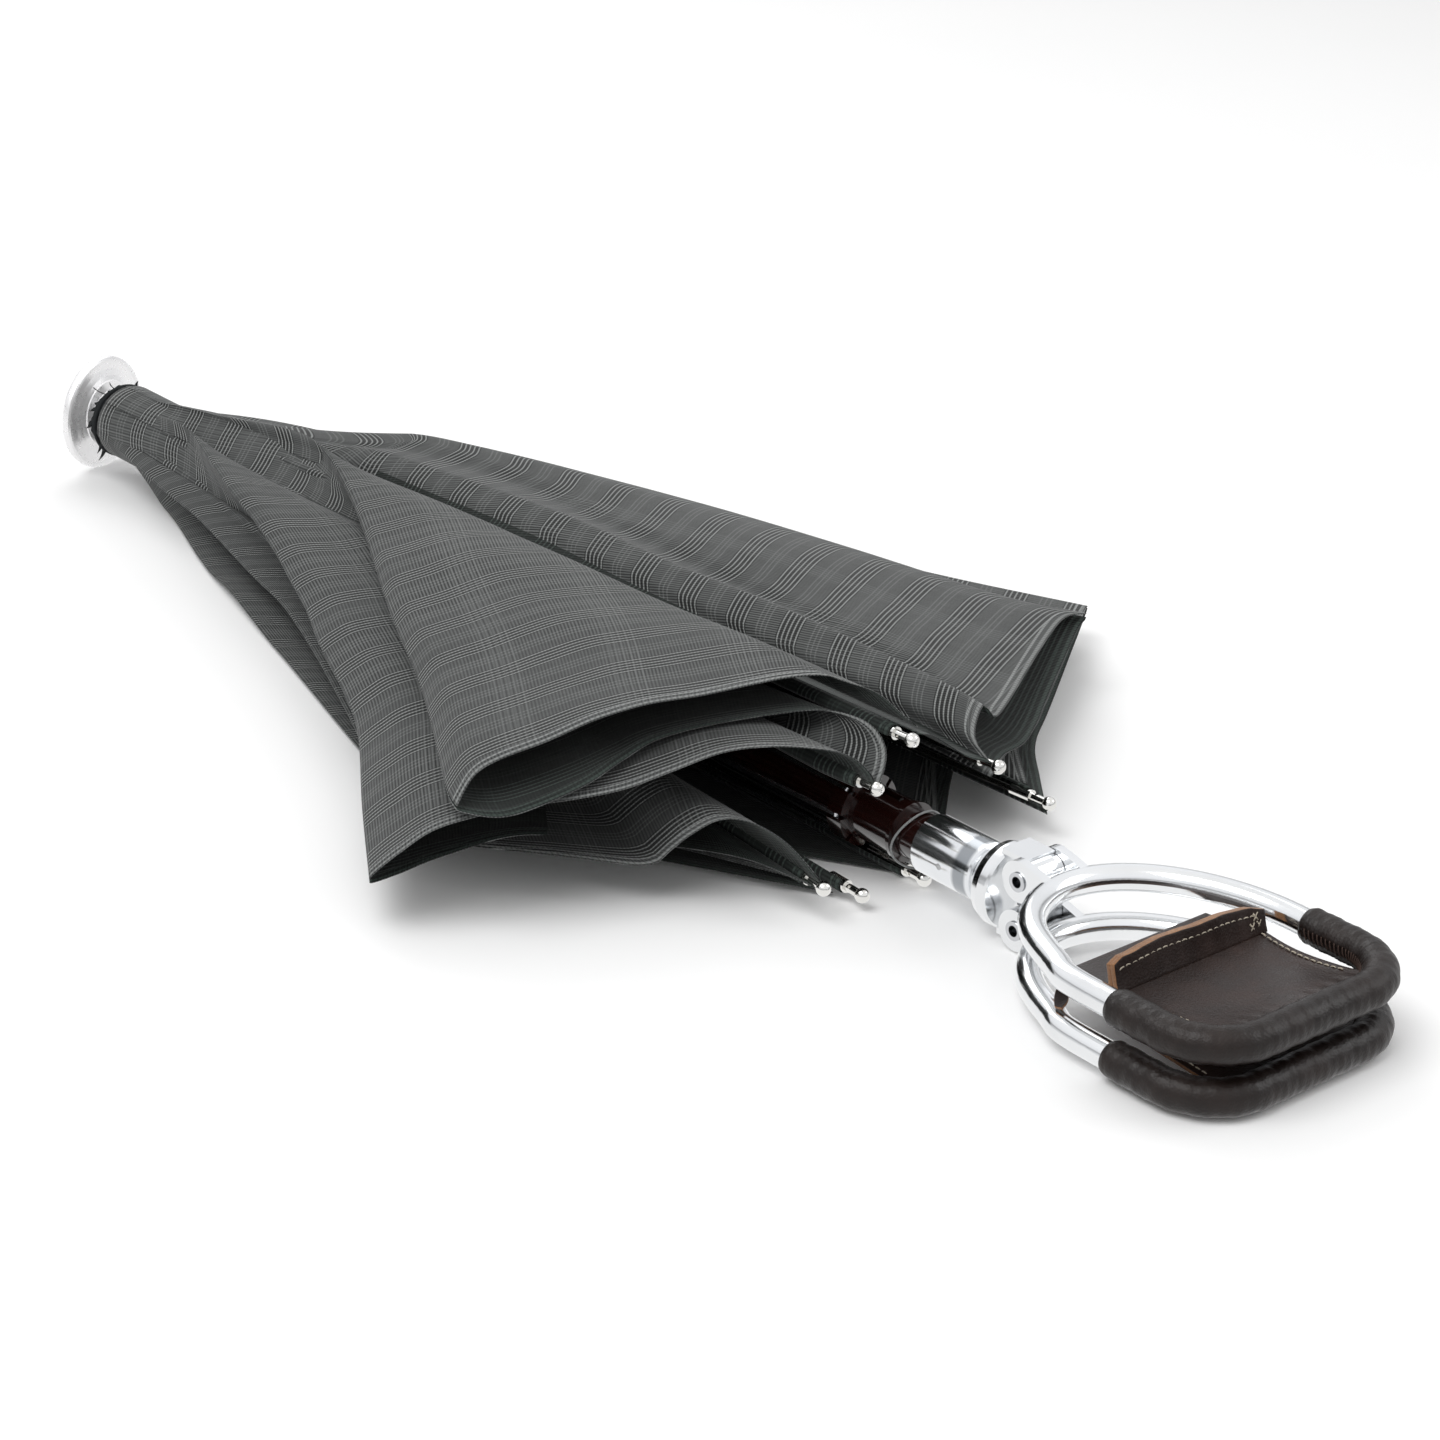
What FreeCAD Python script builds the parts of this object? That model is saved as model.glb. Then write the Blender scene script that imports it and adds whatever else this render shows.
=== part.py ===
import FreeCAD, Part
import math
import os

os.makedirs("parts", exist_ok=True)

V = FreeCAD.Vector

# Lengths in millimetres, angles in degrees. The shaft runs along X, from the foot disc at x = 0
# to the seat bars, Y is the direction of the hinge rivets and Z is up as the stick lies.

# Shaft
SHAFT_R = 11.0
SHAFT_WALL = 1.5
FIT = 0.05

# Foot
DISC_R = 31.7
DISC_TILT = 19.0
KNUCKLE_X = 10.5
KNUCKLE_R = 7.0
SHOULDER_X = 18.5
DISC_PIN_R = 1.5

# Umbrella frame
CROWN_X = 26.0
CROWN_R = 14.0
RIB_LENGTH = 650.0
RIB_JOINT = RIB_LENGTH * 0.44615385
STRETCHER = RIB_LENGTH * 0.48923077
RIB_OPEN = 80.0
RUNNER_PIVOT_R = 15.0
RUNNER_FLANGE_R = 16.6
RUNNER_SLEEVE_R = 12.8
RUNNER_SLEEVE = 32.0
RIB_WIDTH = 3.4
RIB_WALL = 0.5
RIB_BEND = 60.0
RIB_HOOK = 11.0
TIP_BALL_R = 3.3
FIRST_RIB = -2.4
# How far each furled rib tip lies from the shaft, and how far it is pushed round it
RIB_TIPS = [(77.2, -2.8), (45.7, -10.8), (49.5, 14.0), (45.3, 0.5),
            (57.7, 8.4), (37.3, -13.4), (18.4, 0.0), (29.0, 5.0)]

# Canopy
CLOTH = 0.8
# Each gore's folded corner: distance from the crown as a share of the ribs, distance across the
# shaft and above it, the share of the way to the hem that its cloth reaches, and how far its
# fold sags on the way. Gore n lies between ribs n and n + 1.
GORE_FOLDS = [(0.76308, 255.0, -6.0, 1.0, 0.0), (0.83077, 207.0, 17.0, 1.0, 0.0),
              (0.87077, -186.0, 36.0, 1.0, 0.0), (0.83077, -213.0, 3.0, 1.0, 0.0),
              (0.79846, -178.0, -11.0, 0.95, 2.0), (0.79077, -150.0, -20.5, 0.93, 6.5),
              (0.77538, 215.0, -20.5, 0.98, 8.0), (0.76615, 246.0, -13.0, 1.0, 5.0)]
GORE_STATIONS = [0.027, 0.08, 0.14, 0.2, 0.27, 0.34, 0.4, (RIB_JOINT + RIB_BEND) / RIB_LENGTH, 0.76]
FLOOR_GAP = 1.2

# Head
COLLAR_X = CROWN_X + RIB_LENGTH + 3.0
COLLAR_END = COLLAR_X + 35.5
COLLAR_R = 13.6
FLANGE_BACK = COLLAR_END + 3.5
FLANGE_FRONT = FLANGE_BACK + 12.0
FLANGE_R = 19.0
HINGE_X = FLANGE_FRONT + 12.7
HINGE_Z = 11.35
RIVET_R = 3.6
RIVET_HOLE_R = 2.5
LUG_R = 9.2
TONGUE_HALF = 8.0
FORK_HALF = 12.75

# Seat
SEAT_REACH = 149.3
BAR_R = 6.0
WRAP_R = 8.0
BAR_X = HINGE_X + SEAT_REACH
LENGTH = BAR_X + WRAP_R
LOOP_ROOT_X = HINGE_X + 14.3
LOOP_HALF = 56.0
LOOP_SHOULDER_X = BAR_X - 57.0
LOOP_CORNER_R = 26.5
WRAP_START_X = BAR_X - 52.0
LEATHER = 1.6
SLING_HALF = 43.0
SLING_GAP = 0.3
SEAM_X = BAR_X - 65.0
SEAM_RISE = 15.0
SLING_FOLD_X = BAR_X - 95.0

SHAFT_BORE = SHAFT_R - SHAFT_WALL


def turned(points):
    """Solid of revolution about the shaft, from (x, radius) corners."""
    ring = [V(x, 0, r) for x, r in points]
    face = Part.Face(Part.makePolygon(ring + [ring[0]]))
    return face.revolve(V(0, 0, 0), V(1, 0, 0), 360)


def rod(x0, x1, radius):
    return Part.makeCylinder(radius, x1 - x0, V(x0, 0, 0), V(1, 0, 0))


def cross_rod(x, z, y0, y1, radius):
    return Part.makeCylinder(radius, y1 - y0, V(x, y0, z), V(0, 1, 0))


def box(x0, x1, y0, y1, z0, z1):
    return Part.makeBox(x1 - x0, y1 - y0, z1 - z0, V(x0, y0, z0))


def around(shape, angle):
    """The shape turned about the shaft from the +Y direction to the given angle."""
    turned_shape = shape.copy()
    turned_shape.rotate(V(0, 0, 0), V(1, 0, 0), angle)
    return turned_shape


def loop_wire(points):
    return Part.makePolygon(points + [points[0]])


def rounded_path(corners, radii):
    """Open path of straight runs joined by tangent arcs, through corners in one plane."""
    edges = []
    start = corners[0]
    for before, corner, after, radius in zip(corners, corners[1:], corners[2:], radii):
        back = (before - corner).normalize()
        ahead = (after - corner).normalize()
        half = math.acos(max(-1.0, min(1.0, back.dot(ahead)))) / 2
        cut = radius / math.tan(half)
        first = corner + back * cut
        last = corner + ahead * cut
        middle_line = (back + ahead).normalize()
        centre = corner + middle_line * (radius / math.sin(half))
        middle = centre - middle_line * radius
        edges.append(Part.LineSegment(start, first).toShape())
        edges.append(Part.Arc(first, middle, last).toShape())
        start = last
    edges.append(Part.LineSegment(start, corners[-1]).toShape())
    return edges


def swept(edges, radius):
    """Round bar along a path of edges."""
    path = Part.Wire(edges)
    start = edges[0].valueAt(edges[0].FirstParameter)
    along = edges[0].tangentAt(edges[0].FirstParameter)
    circle = Part.Wire(Part.makeCircle(radius, start, along))
    return path.makePipeShell([circle], True, False)


# Umbrella frame geometry

def rib_angle(index):
    return FIRST_RIB + 45.0 * index


def radial(index):
    angle = math.radians(rib_angle(index))
    return V(0, math.cos(angle), math.sin(angle))


def sideways(index):
    angle = math.radians(rib_angle(index))
    return V(0, -math.sin(angle), math.cos(angle))


def rib_pivot(index):
    return V(CROWN_X, 0, 0) + radial(index) * CROWN_R


def rib_tilt(index):
    """Angle between the furled rib and the shaft."""
    return math.asin((RIB_TIPS[index][0] - CROWN_R) / RIB_LENGTH)


def rib_point(index, along):
    """Point on the furled rib's centre line, at a distance from its pivot."""
    tilt = rib_tilt(index)
    straight = V(math.cos(tilt), 0, 0) + radial(index) * math.sin(tilt)
    bend_from = RIB_JOINT + RIB_BEND
    share = max(0.0, along - bend_from) / (RIB_LENGTH - bend_from)
    return rib_pivot(index) + straight * along + sideways(index) * (RIB_TIPS[index][1] * share)


def runner_x():
    """Pivot circle of the furled runner, from the rib that lies nearest to the shaft."""
    joint = rib_point(6, RIB_JOINT)
    drop = math.hypot(joint.y, joint.z) - RUNNER_PIVOT_R
    return joint.x + math.sqrt(STRETCHER ** 2 - drop ** 2)


def runner_open_x():
    angle = math.radians(RIB_OPEN)
    rise = CROWN_R + RIB_JOINT * math.sin(angle) - RUNNER_PIVOT_R
    return CROWN_X + RIB_JOINT * math.cos(angle) + math.sqrt(STRETCHER ** 2 - rise ** 2)


RUNNER_X = runner_x()
RUNNER_TRAVEL = RUNNER_X - runner_open_x()


def channel_wire(centre, out, side):
    """U section open towards the shaft."""
    half = RIB_WIDTH / 2
    inner = half - RIB_WALL
    top = 1.8
    low = -1.1
    corners = [(-half, top), (half, top), (half, low), (inner, low),
               (inner, top - RIB_WALL), (-inner, top - RIB_WALL), (-inner, low), (-half, low)]
    return loop_wire([centre + side * s + out * r for s, r in corners])


def make_rib(index):
    out = radial(index)
    side = sideways(index)
    stations = [9.0, RIB_JOINT + RIB_BEND, RIB_LENGTH - 12.0]
    wires = [channel_wire(rib_point(index, s), out, side) for s in stations]
    channel = Part.makeLoft(wires, True, True)
    pivot = rib_pivot(index)
    start = rib_point(index, RIB_HOOK)
    eye = Part.makeCylinder(1.7, 1.6, pivot - side * 0.8, side)
    along = (start - pivot).normalize()
    tongue = Part.makeBox(RIB_HOOK, 1.6, 2.6)
    frame = FreeCAD.Matrix(along.x, side.x, out.x, 0, along.y, side.y, out.y, 0,
                           along.z, side.z, out.z, 0, 0, 0, 0, 1)
    tongue.translate(V(0, -0.8, -1.0))
    tongue = tongue.transformGeometry(frame)
    tongue.translate(pivot)
    wire_hole = Part.makeCylinder(0.75, 4.0, pivot - side * 2.0, side)
    joint = rib_point(index, RIB_JOINT)
    joint_hole = Part.makeCylinder(0.6, 6.0, joint - side * 3.0, side)
    rib = channel.fuse([eye, tongue]).cut([wire_hole, joint_hole])
    return rib.removeSplitter()


def make_tip(index):
    """Bright cap on the rib's end: a socket, a flattened neck with an eye, and a ball."""
    end = rib_point(index, RIB_LENGTH)
    back = rib_point(index, RIB_LENGTH - 40.0)
    along = (end - back).normalize()
    side = sideways(index)
    socket = Part.makeCylinder(2.9, 11.0, end - along * 21.0, along)
    neck = Part.makeCylinder(1.9, 11.0, end - along * 11.0, along)
    ball = Part.makeSphere(TIP_BALL_R, end)
    eye = Part.makeCylinder(0.8, 8.0, end - along * 7.5 - side * 4.0, side)
    tip = socket.fuse([neck, ball]).cut(eye)
    grown = channel_cutter(index)
    return tip.cut(grown)


def channel_cutter(index):
    """Room for the rib's end in its cap."""
    out = radial(index)
    side = sideways(index)
    half = RIB_WIDTH / 2 + 0.02
    corners = [(-half, 1.82), (half, 1.82), (half, -1.12), (-half, -1.12)]
    wires = []
    for s in (RIB_LENGTH - 30.0, RIB_LENGTH - 11.9):
        centre = rib_point(index, s)
        wires.append(loop_wire([centre + side * a + out * b for a, b in corners]))
    return Part.makeLoft(wires, True, True)


def make_stretcher(index):
    """Flat strut from the runner's slot into the rib's channel, with its rivet."""
    side = sideways(index)
    out = radial(index)
    joint = rib_point(index, RIB_JOINT)
    inner = V(RUNNER_X, 0, 0) + out * RUNNER_PIVOT_R
    along = (inner - joint).normalize()
    normal = side.cross(along)
    if normal.dot(out) < 0:
        normal = normal * -1
    length = (inner - joint).Length
    corners = [joint + normal * 0.9, inner + normal * 0.9, inner - normal * 0.9, joint - normal * 0.9]
    web = Part.Face(loop_wire([c - side * 0.8 for c in corners])).extrude(side * 1.6)
    joint_eye = Part.makeCylinder(0.9, 1.6, joint - side * 0.8, side)
    inner_eye = Part.makeCylinder(1.5, 1.6, inner - side * 0.8, side)
    rivet = Part.makeCylinder(0.55, RIB_WIDTH + 0.6, joint - side * (RIB_WIDTH / 2 + 0.3), side)
    hole = Part.makeCylinder(0.7, 4.0, inner - side * 2.0, side)
    strut = web.fuse([joint_eye, inner_eye, rivet]).cut(hole)
    return strut.removeSplitter(), length


# Foot

def make_foot_disc():
    profile = [(0.6, 0.0), (0.6, 26.0), (0.0, 27.0), (0.0, 29.9), (0.7, 31.2), (2.0, DISC_R),
               (3.6, DISC_R), (4.9, 31.2), (5.5, 30.0), (5.2, 28.2), (5.6, 25.0), (6.6, 21.5),
               (7.6, 19.2), (8.2, 18.7), (8.6, 16.0), (9.0, 14.1), (10.0, 13.4), (11.8, 13.0),
               (13.6, 12.2), (14.5, 10.6), (14.5, 0.0)]
    disc = turned(profile)
    socket = Part.makeSphere(KNUCKLE_R + FIT, V(KNUCKLE_X, 0, 0))
    mouth = Part.makeCone(3.2, 8.6, 5.4, V(KNUCKLE_X + 1.2, 0, 0), V(1, 0, 0))
    pin = Part.makeCylinder(DISC_PIN_R + FIT, 40.0, V(KNUCKLE_X, 0, -20.0), V(0, 0, 1))
    return disc.cut([socket, mouth, pin])


def make_ferrule():
    ball = Part.makeSphere(KNUCKLE_R, V(KNUCKLE_X, 0, 0))
    neck = rod(KNUCKLE_X, SHOULDER_X + 1.0, 3.6)
    shoulder = turned([(SHOULDER_X, 0), (SHOULDER_X, 9.0), (SHOULDER_X + 1.0, 10.0),
                       (SHOULDER_X + 3.0, 10.0), (SHOULDER_X + 3.0, 0)])
    plug = rod(SHOULDER_X + 2.0, SHOULDER_X + 30.0, SHAFT_BORE)
    pin = Part.makeCylinder(DISC_PIN_R, 30.0, V(KNUCKLE_X, 0, -15.0), V(0, 0, 1))
    return ball.fuse([neck, shoulder, plug]).cut(pin).removeSplitter()


def make_disc_pin():
    return Part.makeCylinder(DISC_PIN_R, 25.0, V(KNUCKLE_X, 0, -12.5), V(0, 0, 1))


# Shaft, crown and runner

def catch(x, nose):
    """Catch in the shaft's slot, pressed flush: an eye on its pin, a leaf and a nose."""
    flush = SHAFT_R - 0.2
    profile = [V(x, -1.0, CATCH_Z - 0.8), V(x + 44.0, -1.0, CATCH_Z - 0.8), V(x + 44.0, -1.0, CATCH_Z + 2.0),
               V(x + 41.0, -1.0, flush), V(x + 41.0 - nose, -1.0, flush),
               V(x + 20.0, -1.0, CATCH_Z + 1.4), V(x, -1.0, CATCH_Z + 0.8)]
    leaf = Part.Face(loop_wire(profile)).extrude(V(0, 2.0, 0))
    eye = cross_rod(x, CATCH_Z, -1.0, 1.0, 2.4)
    return leaf.fuse(eye).cut(cross_rod(x, CATCH_Z, -2.0, 2.0, 1.0 + FIT)).removeSplitter()


CATCH_Z = 5.0
LOWER_CATCH_X = RUNNER_X - 20.0
UPPER_CATCH_X = LOWER_CATCH_X - RUNNER_TRAVEL


def catch_pin(x):
    reach = math.sqrt(SHAFT_R ** 2 - (CATCH_Z + 1.0) ** 2) - 0.2
    return cross_rod(x, CATCH_Z, -reach, reach, 1.0)


def make_shaft():
    tube = rod(SHOULDER_X + 3.0, COLLAR_END - 4.0, SHAFT_R)
    bore = rod(SHOULDER_X + 2.0, COLLAR_END, SHAFT_BORE)
    catches = (LOWER_CATCH_X, UPPER_CATCH_X)
    slots = [box(x + 16.0, x + 46.0, -1.4, 1.4, 2.0, SHAFT_R + 3.0) for x in catches]
    pins = [catch_pin(x) for x in catches]
    return tube.cut([bore, stop_pin_rod(1.0), head_pin_rod(1.5)] + slots + pins)


def stop_pin_rod(radius):
    reach = SHAFT_R + 1.5
    return cross_rod(RUNNER_X - RUNNER_TRAVEL - 10.0, 0, -reach, reach, radius)


def head_pin_rod(radius):
    return cross_rod(COLLAR_X + 18.0, 0, -COLLAR_R, COLLAR_R, radius)


def make_crown_notch():
    outer = CROWN_R + 1.8
    back = SHOULDER_X + 2.5
    hub = turned([(back, SHAFT_R), (back, outer - 0.8), (back + 0.8, outer), (CROWN_X + 4.2, outer),
                  (CROWN_X + 5.0, outer - 0.8), (CROWN_X + 5.0, SHAFT_R)])
    slot = box(CROWN_X - 2.2, CROWN_X + 7.0, CROWN_R - 2.2, CROWN_R + 4.0, -1.1, 1.1)
    slots = [around(slot, rib_angle(i)) for i in range(8)]
    groove = turned([(CROWN_X - 0.65, CROWN_R - 0.6), (CROWN_X - 0.65, outer + 1.0),
                     (CROWN_X + 0.65, outer + 1.0), (CROWN_X + 0.65, CROWN_R - 0.6)])
    return hub.cut(slots + [groove])


def make_crown_wire():
    return Part.makeTorus(CROWN_R, 0.6, V(CROWN_X, 0, 0), V(1, 0, 0))


def make_runner():
    x = RUNNER_X
    sleeve = turned([(x - 8.0, SHAFT_R + FIT), (x - 8.0, RUNNER_SLEEVE_R - 0.6), (x - 7.4, RUNNER_SLEEVE_R),
                     (x - 5.0, RUNNER_SLEEVE_R), (x - 4.5, RUNNER_FLANGE_R), (x + 4.5, RUNNER_FLANGE_R),
                     (x + 5.0, RUNNER_SLEEVE_R), (x + RUNNER_SLEEVE - 3.0, RUNNER_SLEEVE_R),
                     (x + RUNNER_SLEEVE - 2.0, RUNNER_SLEEVE_R + 1.0),
                     (x + RUNNER_SLEEVE, RUNNER_SLEEVE_R + 1.0),
                     (x + RUNNER_SLEEVE, SHAFT_R + FIT)])
    slot = box(x - 10.0, x + 6.0, RUNNER_PIVOT_R - 1.9, RUNNER_FLANGE_R + 2.0, -1.1, 1.1)
    slots = [around(slot, rib_angle(i)) for i in range(8)]
    window = box(x + 9.0, x + 25.5, -1.8, 1.8, 5.0, 20.0)
    return sleeve.cut(slots + [window])


def make_tie_loop():
    """Thin loop that hangs round the shaft."""
    loop = Part.makeTorus(SHAFT_R + 2.2, 0.7)
    loop.rotate(V(0, 0, 0), V(0, 1, 0), 90.0 - 8.0)
    loop.translate(V(COLLAR_X - 6.5, 0, -1.3))
    return loop


def make_crown_cloth():
    """Black cloth gathered over the crown, slit where the ribs swing out."""
    hub = CROWN_R + 1.8
    outside = [(SHOULDER_X + 2.6, hub), (SHOULDER_X + 2.0, hub + 1.6), (SHOULDER_X + 4.0, hub + 2.9),
               (CROWN_X, hub + 2.0), (CROWN_X + 4.0, hub + 2.2), (CROWN_X + 11.5, hub + 4.0)]
    inside = [(CROWN_X + 11.5, hub + 2.5), (CROWN_X + 5.5, hub + 0.4), (CROWN_X + 4.0, hub)]
    cloth = turned(outside + inside)
    slit = box(CROWN_X - 2.2, CROWN_X + 14.0, CROWN_R, CROWN_R + 12.0, -2.1, 2.1)
    return cloth.cut([around(slit, rib_angle(i)) for i in range(8)])


# Canopy gores

def floor_z(x):
    """Height of the ground under the level shaft's axis, from the disc's rim to the lower bar."""
    rise = DISC_R - HINGE_Z - WRAP_R
    return -DISC_R + rise * (x - KNUCKLE_X) / (BAR_X - KNUCKLE_X)


def fold_point(gore, share):
    """Point on a gore's middle fold, from the crown (0) to the hem (1)."""
    second = (gore + 1) % 8
    forward, y, z, _, sag = GORE_FOLDS[gore]
    x = CROWN_X + RIB_LENGTH * forward
    reach = RIB_LENGTH * share
    middle = (rib_point(gore, reach) + rib_point(second, reach)) * 0.5
    hem_middle = (rib_point(gore, RIB_LENGTH) + rib_point(second, RIB_LENGTH)) * 0.5
    final = V(x, y, z) - hem_middle
    across = math.radians(rib_angle(gore) + 22.5)
    star = V(0, math.cos(across), math.sin(across))
    fallen = V(0, final.y, final.z).normalize()
    ease = min(1.0, share / 0.4)
    ease = ease * ease * (3 - 2 * ease)
    mixed = (star * (1 - ease) + fallen * ease).normalize()
    width = math.hypot(final.y, final.z) * share
    point = middle + mixed * width + V(final.x * share, 0, -sag * 4 * share * (1 - share))
    lowest = floor_z(point.x) + FLOOR_GAP + 2 * CLOTH
    return V(point.x, point.y, max(point.z, lowest))


def gore_section(gore, second_half, share):
    """Section of half a gore, from beside its rib to its folded edge."""
    rib = (gore + 1) % 8 if second_half else gore
    reach = min(RIB_LENGTH * share, RIB_LENGTH - 24.0)
    side = sideways(rib) * (-1.0 if second_half else 1.0)
    thick = CLOTH * (0.5 + 0.5 * min(1.0, share / 0.3))
    fold = fold_point(gore, share)
    centre = rib_point(rib, reach)
    away = V(0, fold.y - centre.y, fold.z - centre.z).normalize()
    opposite = GORE_FOLDS[rib][1] * GORE_FOLDS[rib - 1][1] < 0
    start = centre + away * 2.85 + side * 0.25
    if opposite:
        start = centre + radial(rib) * 2.75 + side * 0.45
        away = V(0, fold.y - start.y, fold.z - start.z).normalize()
    normal = V(1, 0, 0).cross(away)
    inside = second_half != opposite
    gap = 0.15 + 1.2 * share
    end = fold + normal * (gap if second_half else -gap - thick)
    if inside:
        start = start - normal * thick
    return loop_wire([start, end, end + normal * thick, start + normal * thick])


def make_gore_half(gore, second_half):
    """Half of a gore, a thin sheet that gets wider towards its hem."""
    hem = GORE_FOLDS[gore][3]
    shares = [share for share in GORE_STATIONS if share < hem - 0.1] + [hem]
    return Part.makeLoft([gore_section(gore, second_half, share) for share in shares], True, True)


# Head

def make_collar():
    body = turned([(COLLAR_X, SHAFT_R + 0.02), (COLLAR_X, COLLAR_R - 0.8), (COLLAR_X + 0.8, COLLAR_R),
                   (COLLAR_END - 0.8, COLLAR_R), (COLLAR_END, COLLAR_R - 0.8),
                   (COLLAR_END, SHAFT_R + 0.02)])
    return body.cut(head_pin_rod(1.5))


def make_head():
    neck = turned([(COLLAR_X + 6.0, 0), (COLLAR_X + 6.0, SHAFT_BORE - 0.02),
                   (COLLAR_END - 4.0, SHAFT_BORE - 0.02), (COLLAR_END - 4.0, SHAFT_R),
                   (COLLAR_END, SHAFT_R), (COLLAR_END, 12.2), (COLLAR_END + 1.5, 12.4),
                   (FLANGE_BACK, 15.0), (FLANGE_BACK + 3.0, 17.6), (FLANGE_BACK + 7.0, FLANGE_R),
                   (FLANGE_FRONT - 1.0, FLANGE_R), (FLANGE_FRONT, FLANGE_R - 1.0), (FLANGE_FRONT, 0)])
    top = HINGE_Z + LUG_R - 0.6
    plate = box(FLANGE_FRONT - 2.0, HINGE_X, -TONGUE_HALF, TONGUE_HALF, -top, top)
    nose = 6.7
    ends = [cross_rod(HINGE_X, z, -TONGUE_HALF, TONGUE_HALF, nose) for z in (HINGE_Z, -HINGE_Z)]
    front = box(HINGE_X - 1.0, HINGE_X + nose, -TONGUE_HALF, TONGUE_HALF, -HINGE_Z, HINGE_Z)
    keep = rod(FLANGE_FRONT - 3.0, HINGE_X + 20.0, FLANGE_R + 2.5)
    tongue = plate.fuse(ends + [front]).common(keep)
    slot = box(HINGE_X - 4.0, HINGE_X + 20.0, -TONGUE_HALF - 1, TONGUE_HALF + 1, -2.2, 2.2)
    holes = [cross_rod(HINGE_X, z, -20, 20, RIVET_R + 0.03) for z in (HINGE_Z, -HINGE_Z)]
    return neck.fuse(tongue).cut(holes + [slot, head_pin_rod(1.5)]).removeSplitter()


def make_rivet(z):
    half = FORK_HALF + 0.3
    body = cross_rod(HINGE_X, z, -half, half, RIVET_R)
    lips = [cross_rod(HINGE_X, z, half - 0.1, half + 0.45, RIVET_R + 0.7),
            cross_rod(HINGE_X, z, -half - 0.45, -half + 0.1, RIVET_R + 0.7)]
    hole = cross_rod(HINGE_X, z, -half - 2, half + 2, RIVET_HOLE_R)
    return body.fuse(lips).cut(hole).removeSplitter()


# Seat

def bar_edges(z, start_x):
    """Centre line of a seat loop's outer bar with its corners and the straight of its arms."""
    corners = [V(start_x, -LOOP_HALF, z), V(BAR_X, -LOOP_HALF, z), V(BAR_X, LOOP_HALF, z),
               V(start_x, LOOP_HALF, z)]
    return rounded_path(corners, [LOOP_CORNER_R, LOOP_CORNER_R])


def root_edge(z):
    """Centre line of a seat loop's arms where they come round to the fork."""
    points = []
    for step in range(9):
        angle = math.pi * (0.5 + step / 8)
        x = LOOP_SHOULDER_X + (LOOP_SHOULDER_X - LOOP_ROOT_X) * math.cos(angle)
        points.append(V(x, LOOP_HALF * math.sin(angle), z))
    curve = Part.BSplineCurve()
    curve.interpolate(Points=points, InitialTangent=V(-1, 0, 0), FinalTangent=V(1, 0, 0))
    return curve.toShape()


def make_loop(z):
    ring = swept(bar_edges(z, LOOP_SHOULDER_X) + [root_edge(z)], BAR_R)
    lugs = []
    for side in (1, -1):
        inner = TONGUE_HALF + 0.3
        y0, y1 = (inner, FORK_HALF) if side > 0 else (-FORK_HALF, -inner)
        lugs.append(cross_rod(HINGE_X, z, y0, y1, LUG_R))
        profile = [V(HINGE_X, y0, z + LUG_R), V(HINGE_X + 7.0, y0, z + 8.0),
                   V(LOOP_ROOT_X + 2.0, y0, z + BAR_R - 0.4), V(LOOP_ROOT_X + 2.0, y0, z - BAR_R + 0.4),
                   V(HINGE_X + 7.0, y0, z - 8.0), V(HINGE_X, y0, z - LUG_R)]
        lugs.append(Part.Face(loop_wire(profile)).extrude(V(0, y1 - y0, 0)))
    room = cross_rod(HINGE_X, z, -TONGUE_HALF - 0.3, TONGUE_HALF + 0.3, 7.0)
    hole = cross_rod(HINGE_X, z, -30, 30, RIVET_R + FIT)
    return ring.fuse(lugs).cut([hole, room]).removeSplitter()


def make_wrap(z):
    outer = swept(bar_edges(z, WRAP_START_X), WRAP_R)
    core = swept(bar_edges(z, WRAP_START_X), BAR_R)
    return outer.cut(core)


def sling_panel(corners, sags, half):
    """Leather across the stick, along a line of (x, z) corners with an arc between each two."""
    top = []
    low = []
    drop = V(0, 0, -LEATHER)
    points = [V(x, -half, z) for x, z in corners]
    for start, end, sag in zip(points, points[1:], sags):
        middle = (start + end) * 0.5 + V(0, 0, -sag)
        top.append(Part.Arc(start, middle, end).toShape())
        low.append(Part.Arc(start + drop, middle + drop, end + drop).toShape())
    first = Part.LineSegment(points[0], points[0] + drop).toShape()
    last = Part.LineSegment(points[-1], points[-1] + drop).toShape()
    outline = Part.Wire(Part.__sortEdges__(top + low + [first, last]))
    return Part.Face(outline).extrude(V(0, 2 * half, 0))


def make_upper_sling():
    """Panel from the upper bar over the standing seam to the seat's fold."""
    edge = BAR_X - WRAP_R - SLING_GAP
    base = HINGE_Z - 3.5
    panel = sling_panel([(edge, HINGE_Z + 1.0), (SEAM_X, base), (SLING_FOLD_X, 2.6)], [2.6, 0.6], SLING_HALF)
    half = SLING_HALF
    seam = [(-half, base - 1.0), (half, base - 1.0), (half, base + SEAM_RISE - 4.0),
            (half * 0.4, base + SEAM_RISE - 1.0), (-half * 0.5, base + SEAM_RISE), (-half, base + SEAM_RISE - 2.0)]
    outline = [V(SEAM_X - 2.0, y, z) for y, z in seam]
    flap = Part.Face(loop_wire(outline)).extrude(V(3.6, 0, 0))
    flap.rotate(V(SEAM_X, 0, base), V(0, 1, 0), -14.0)
    return panel.fuse(flap).cut(bar_room(HINGE_Z)).removeSplitter()


def make_lower_sling():
    """Panel from the lower bar to the seat's fold."""
    edge = BAR_X - WRAP_R - SLING_GAP
    panel = sling_panel([(edge, LEATHER - HINGE_Z), (SLING_FOLD_X - 4.0, 0.4)], [1.5], SLING_HALF - 1.0)
    return panel.cut(bar_room(-HINGE_Z)).removeSplitter()


def bar_room(z):
    """Space that a sling leaves round its leather-covered bar."""
    return swept(bar_edges(z, WRAP_START_X), WRAP_R + SLING_GAP)


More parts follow.
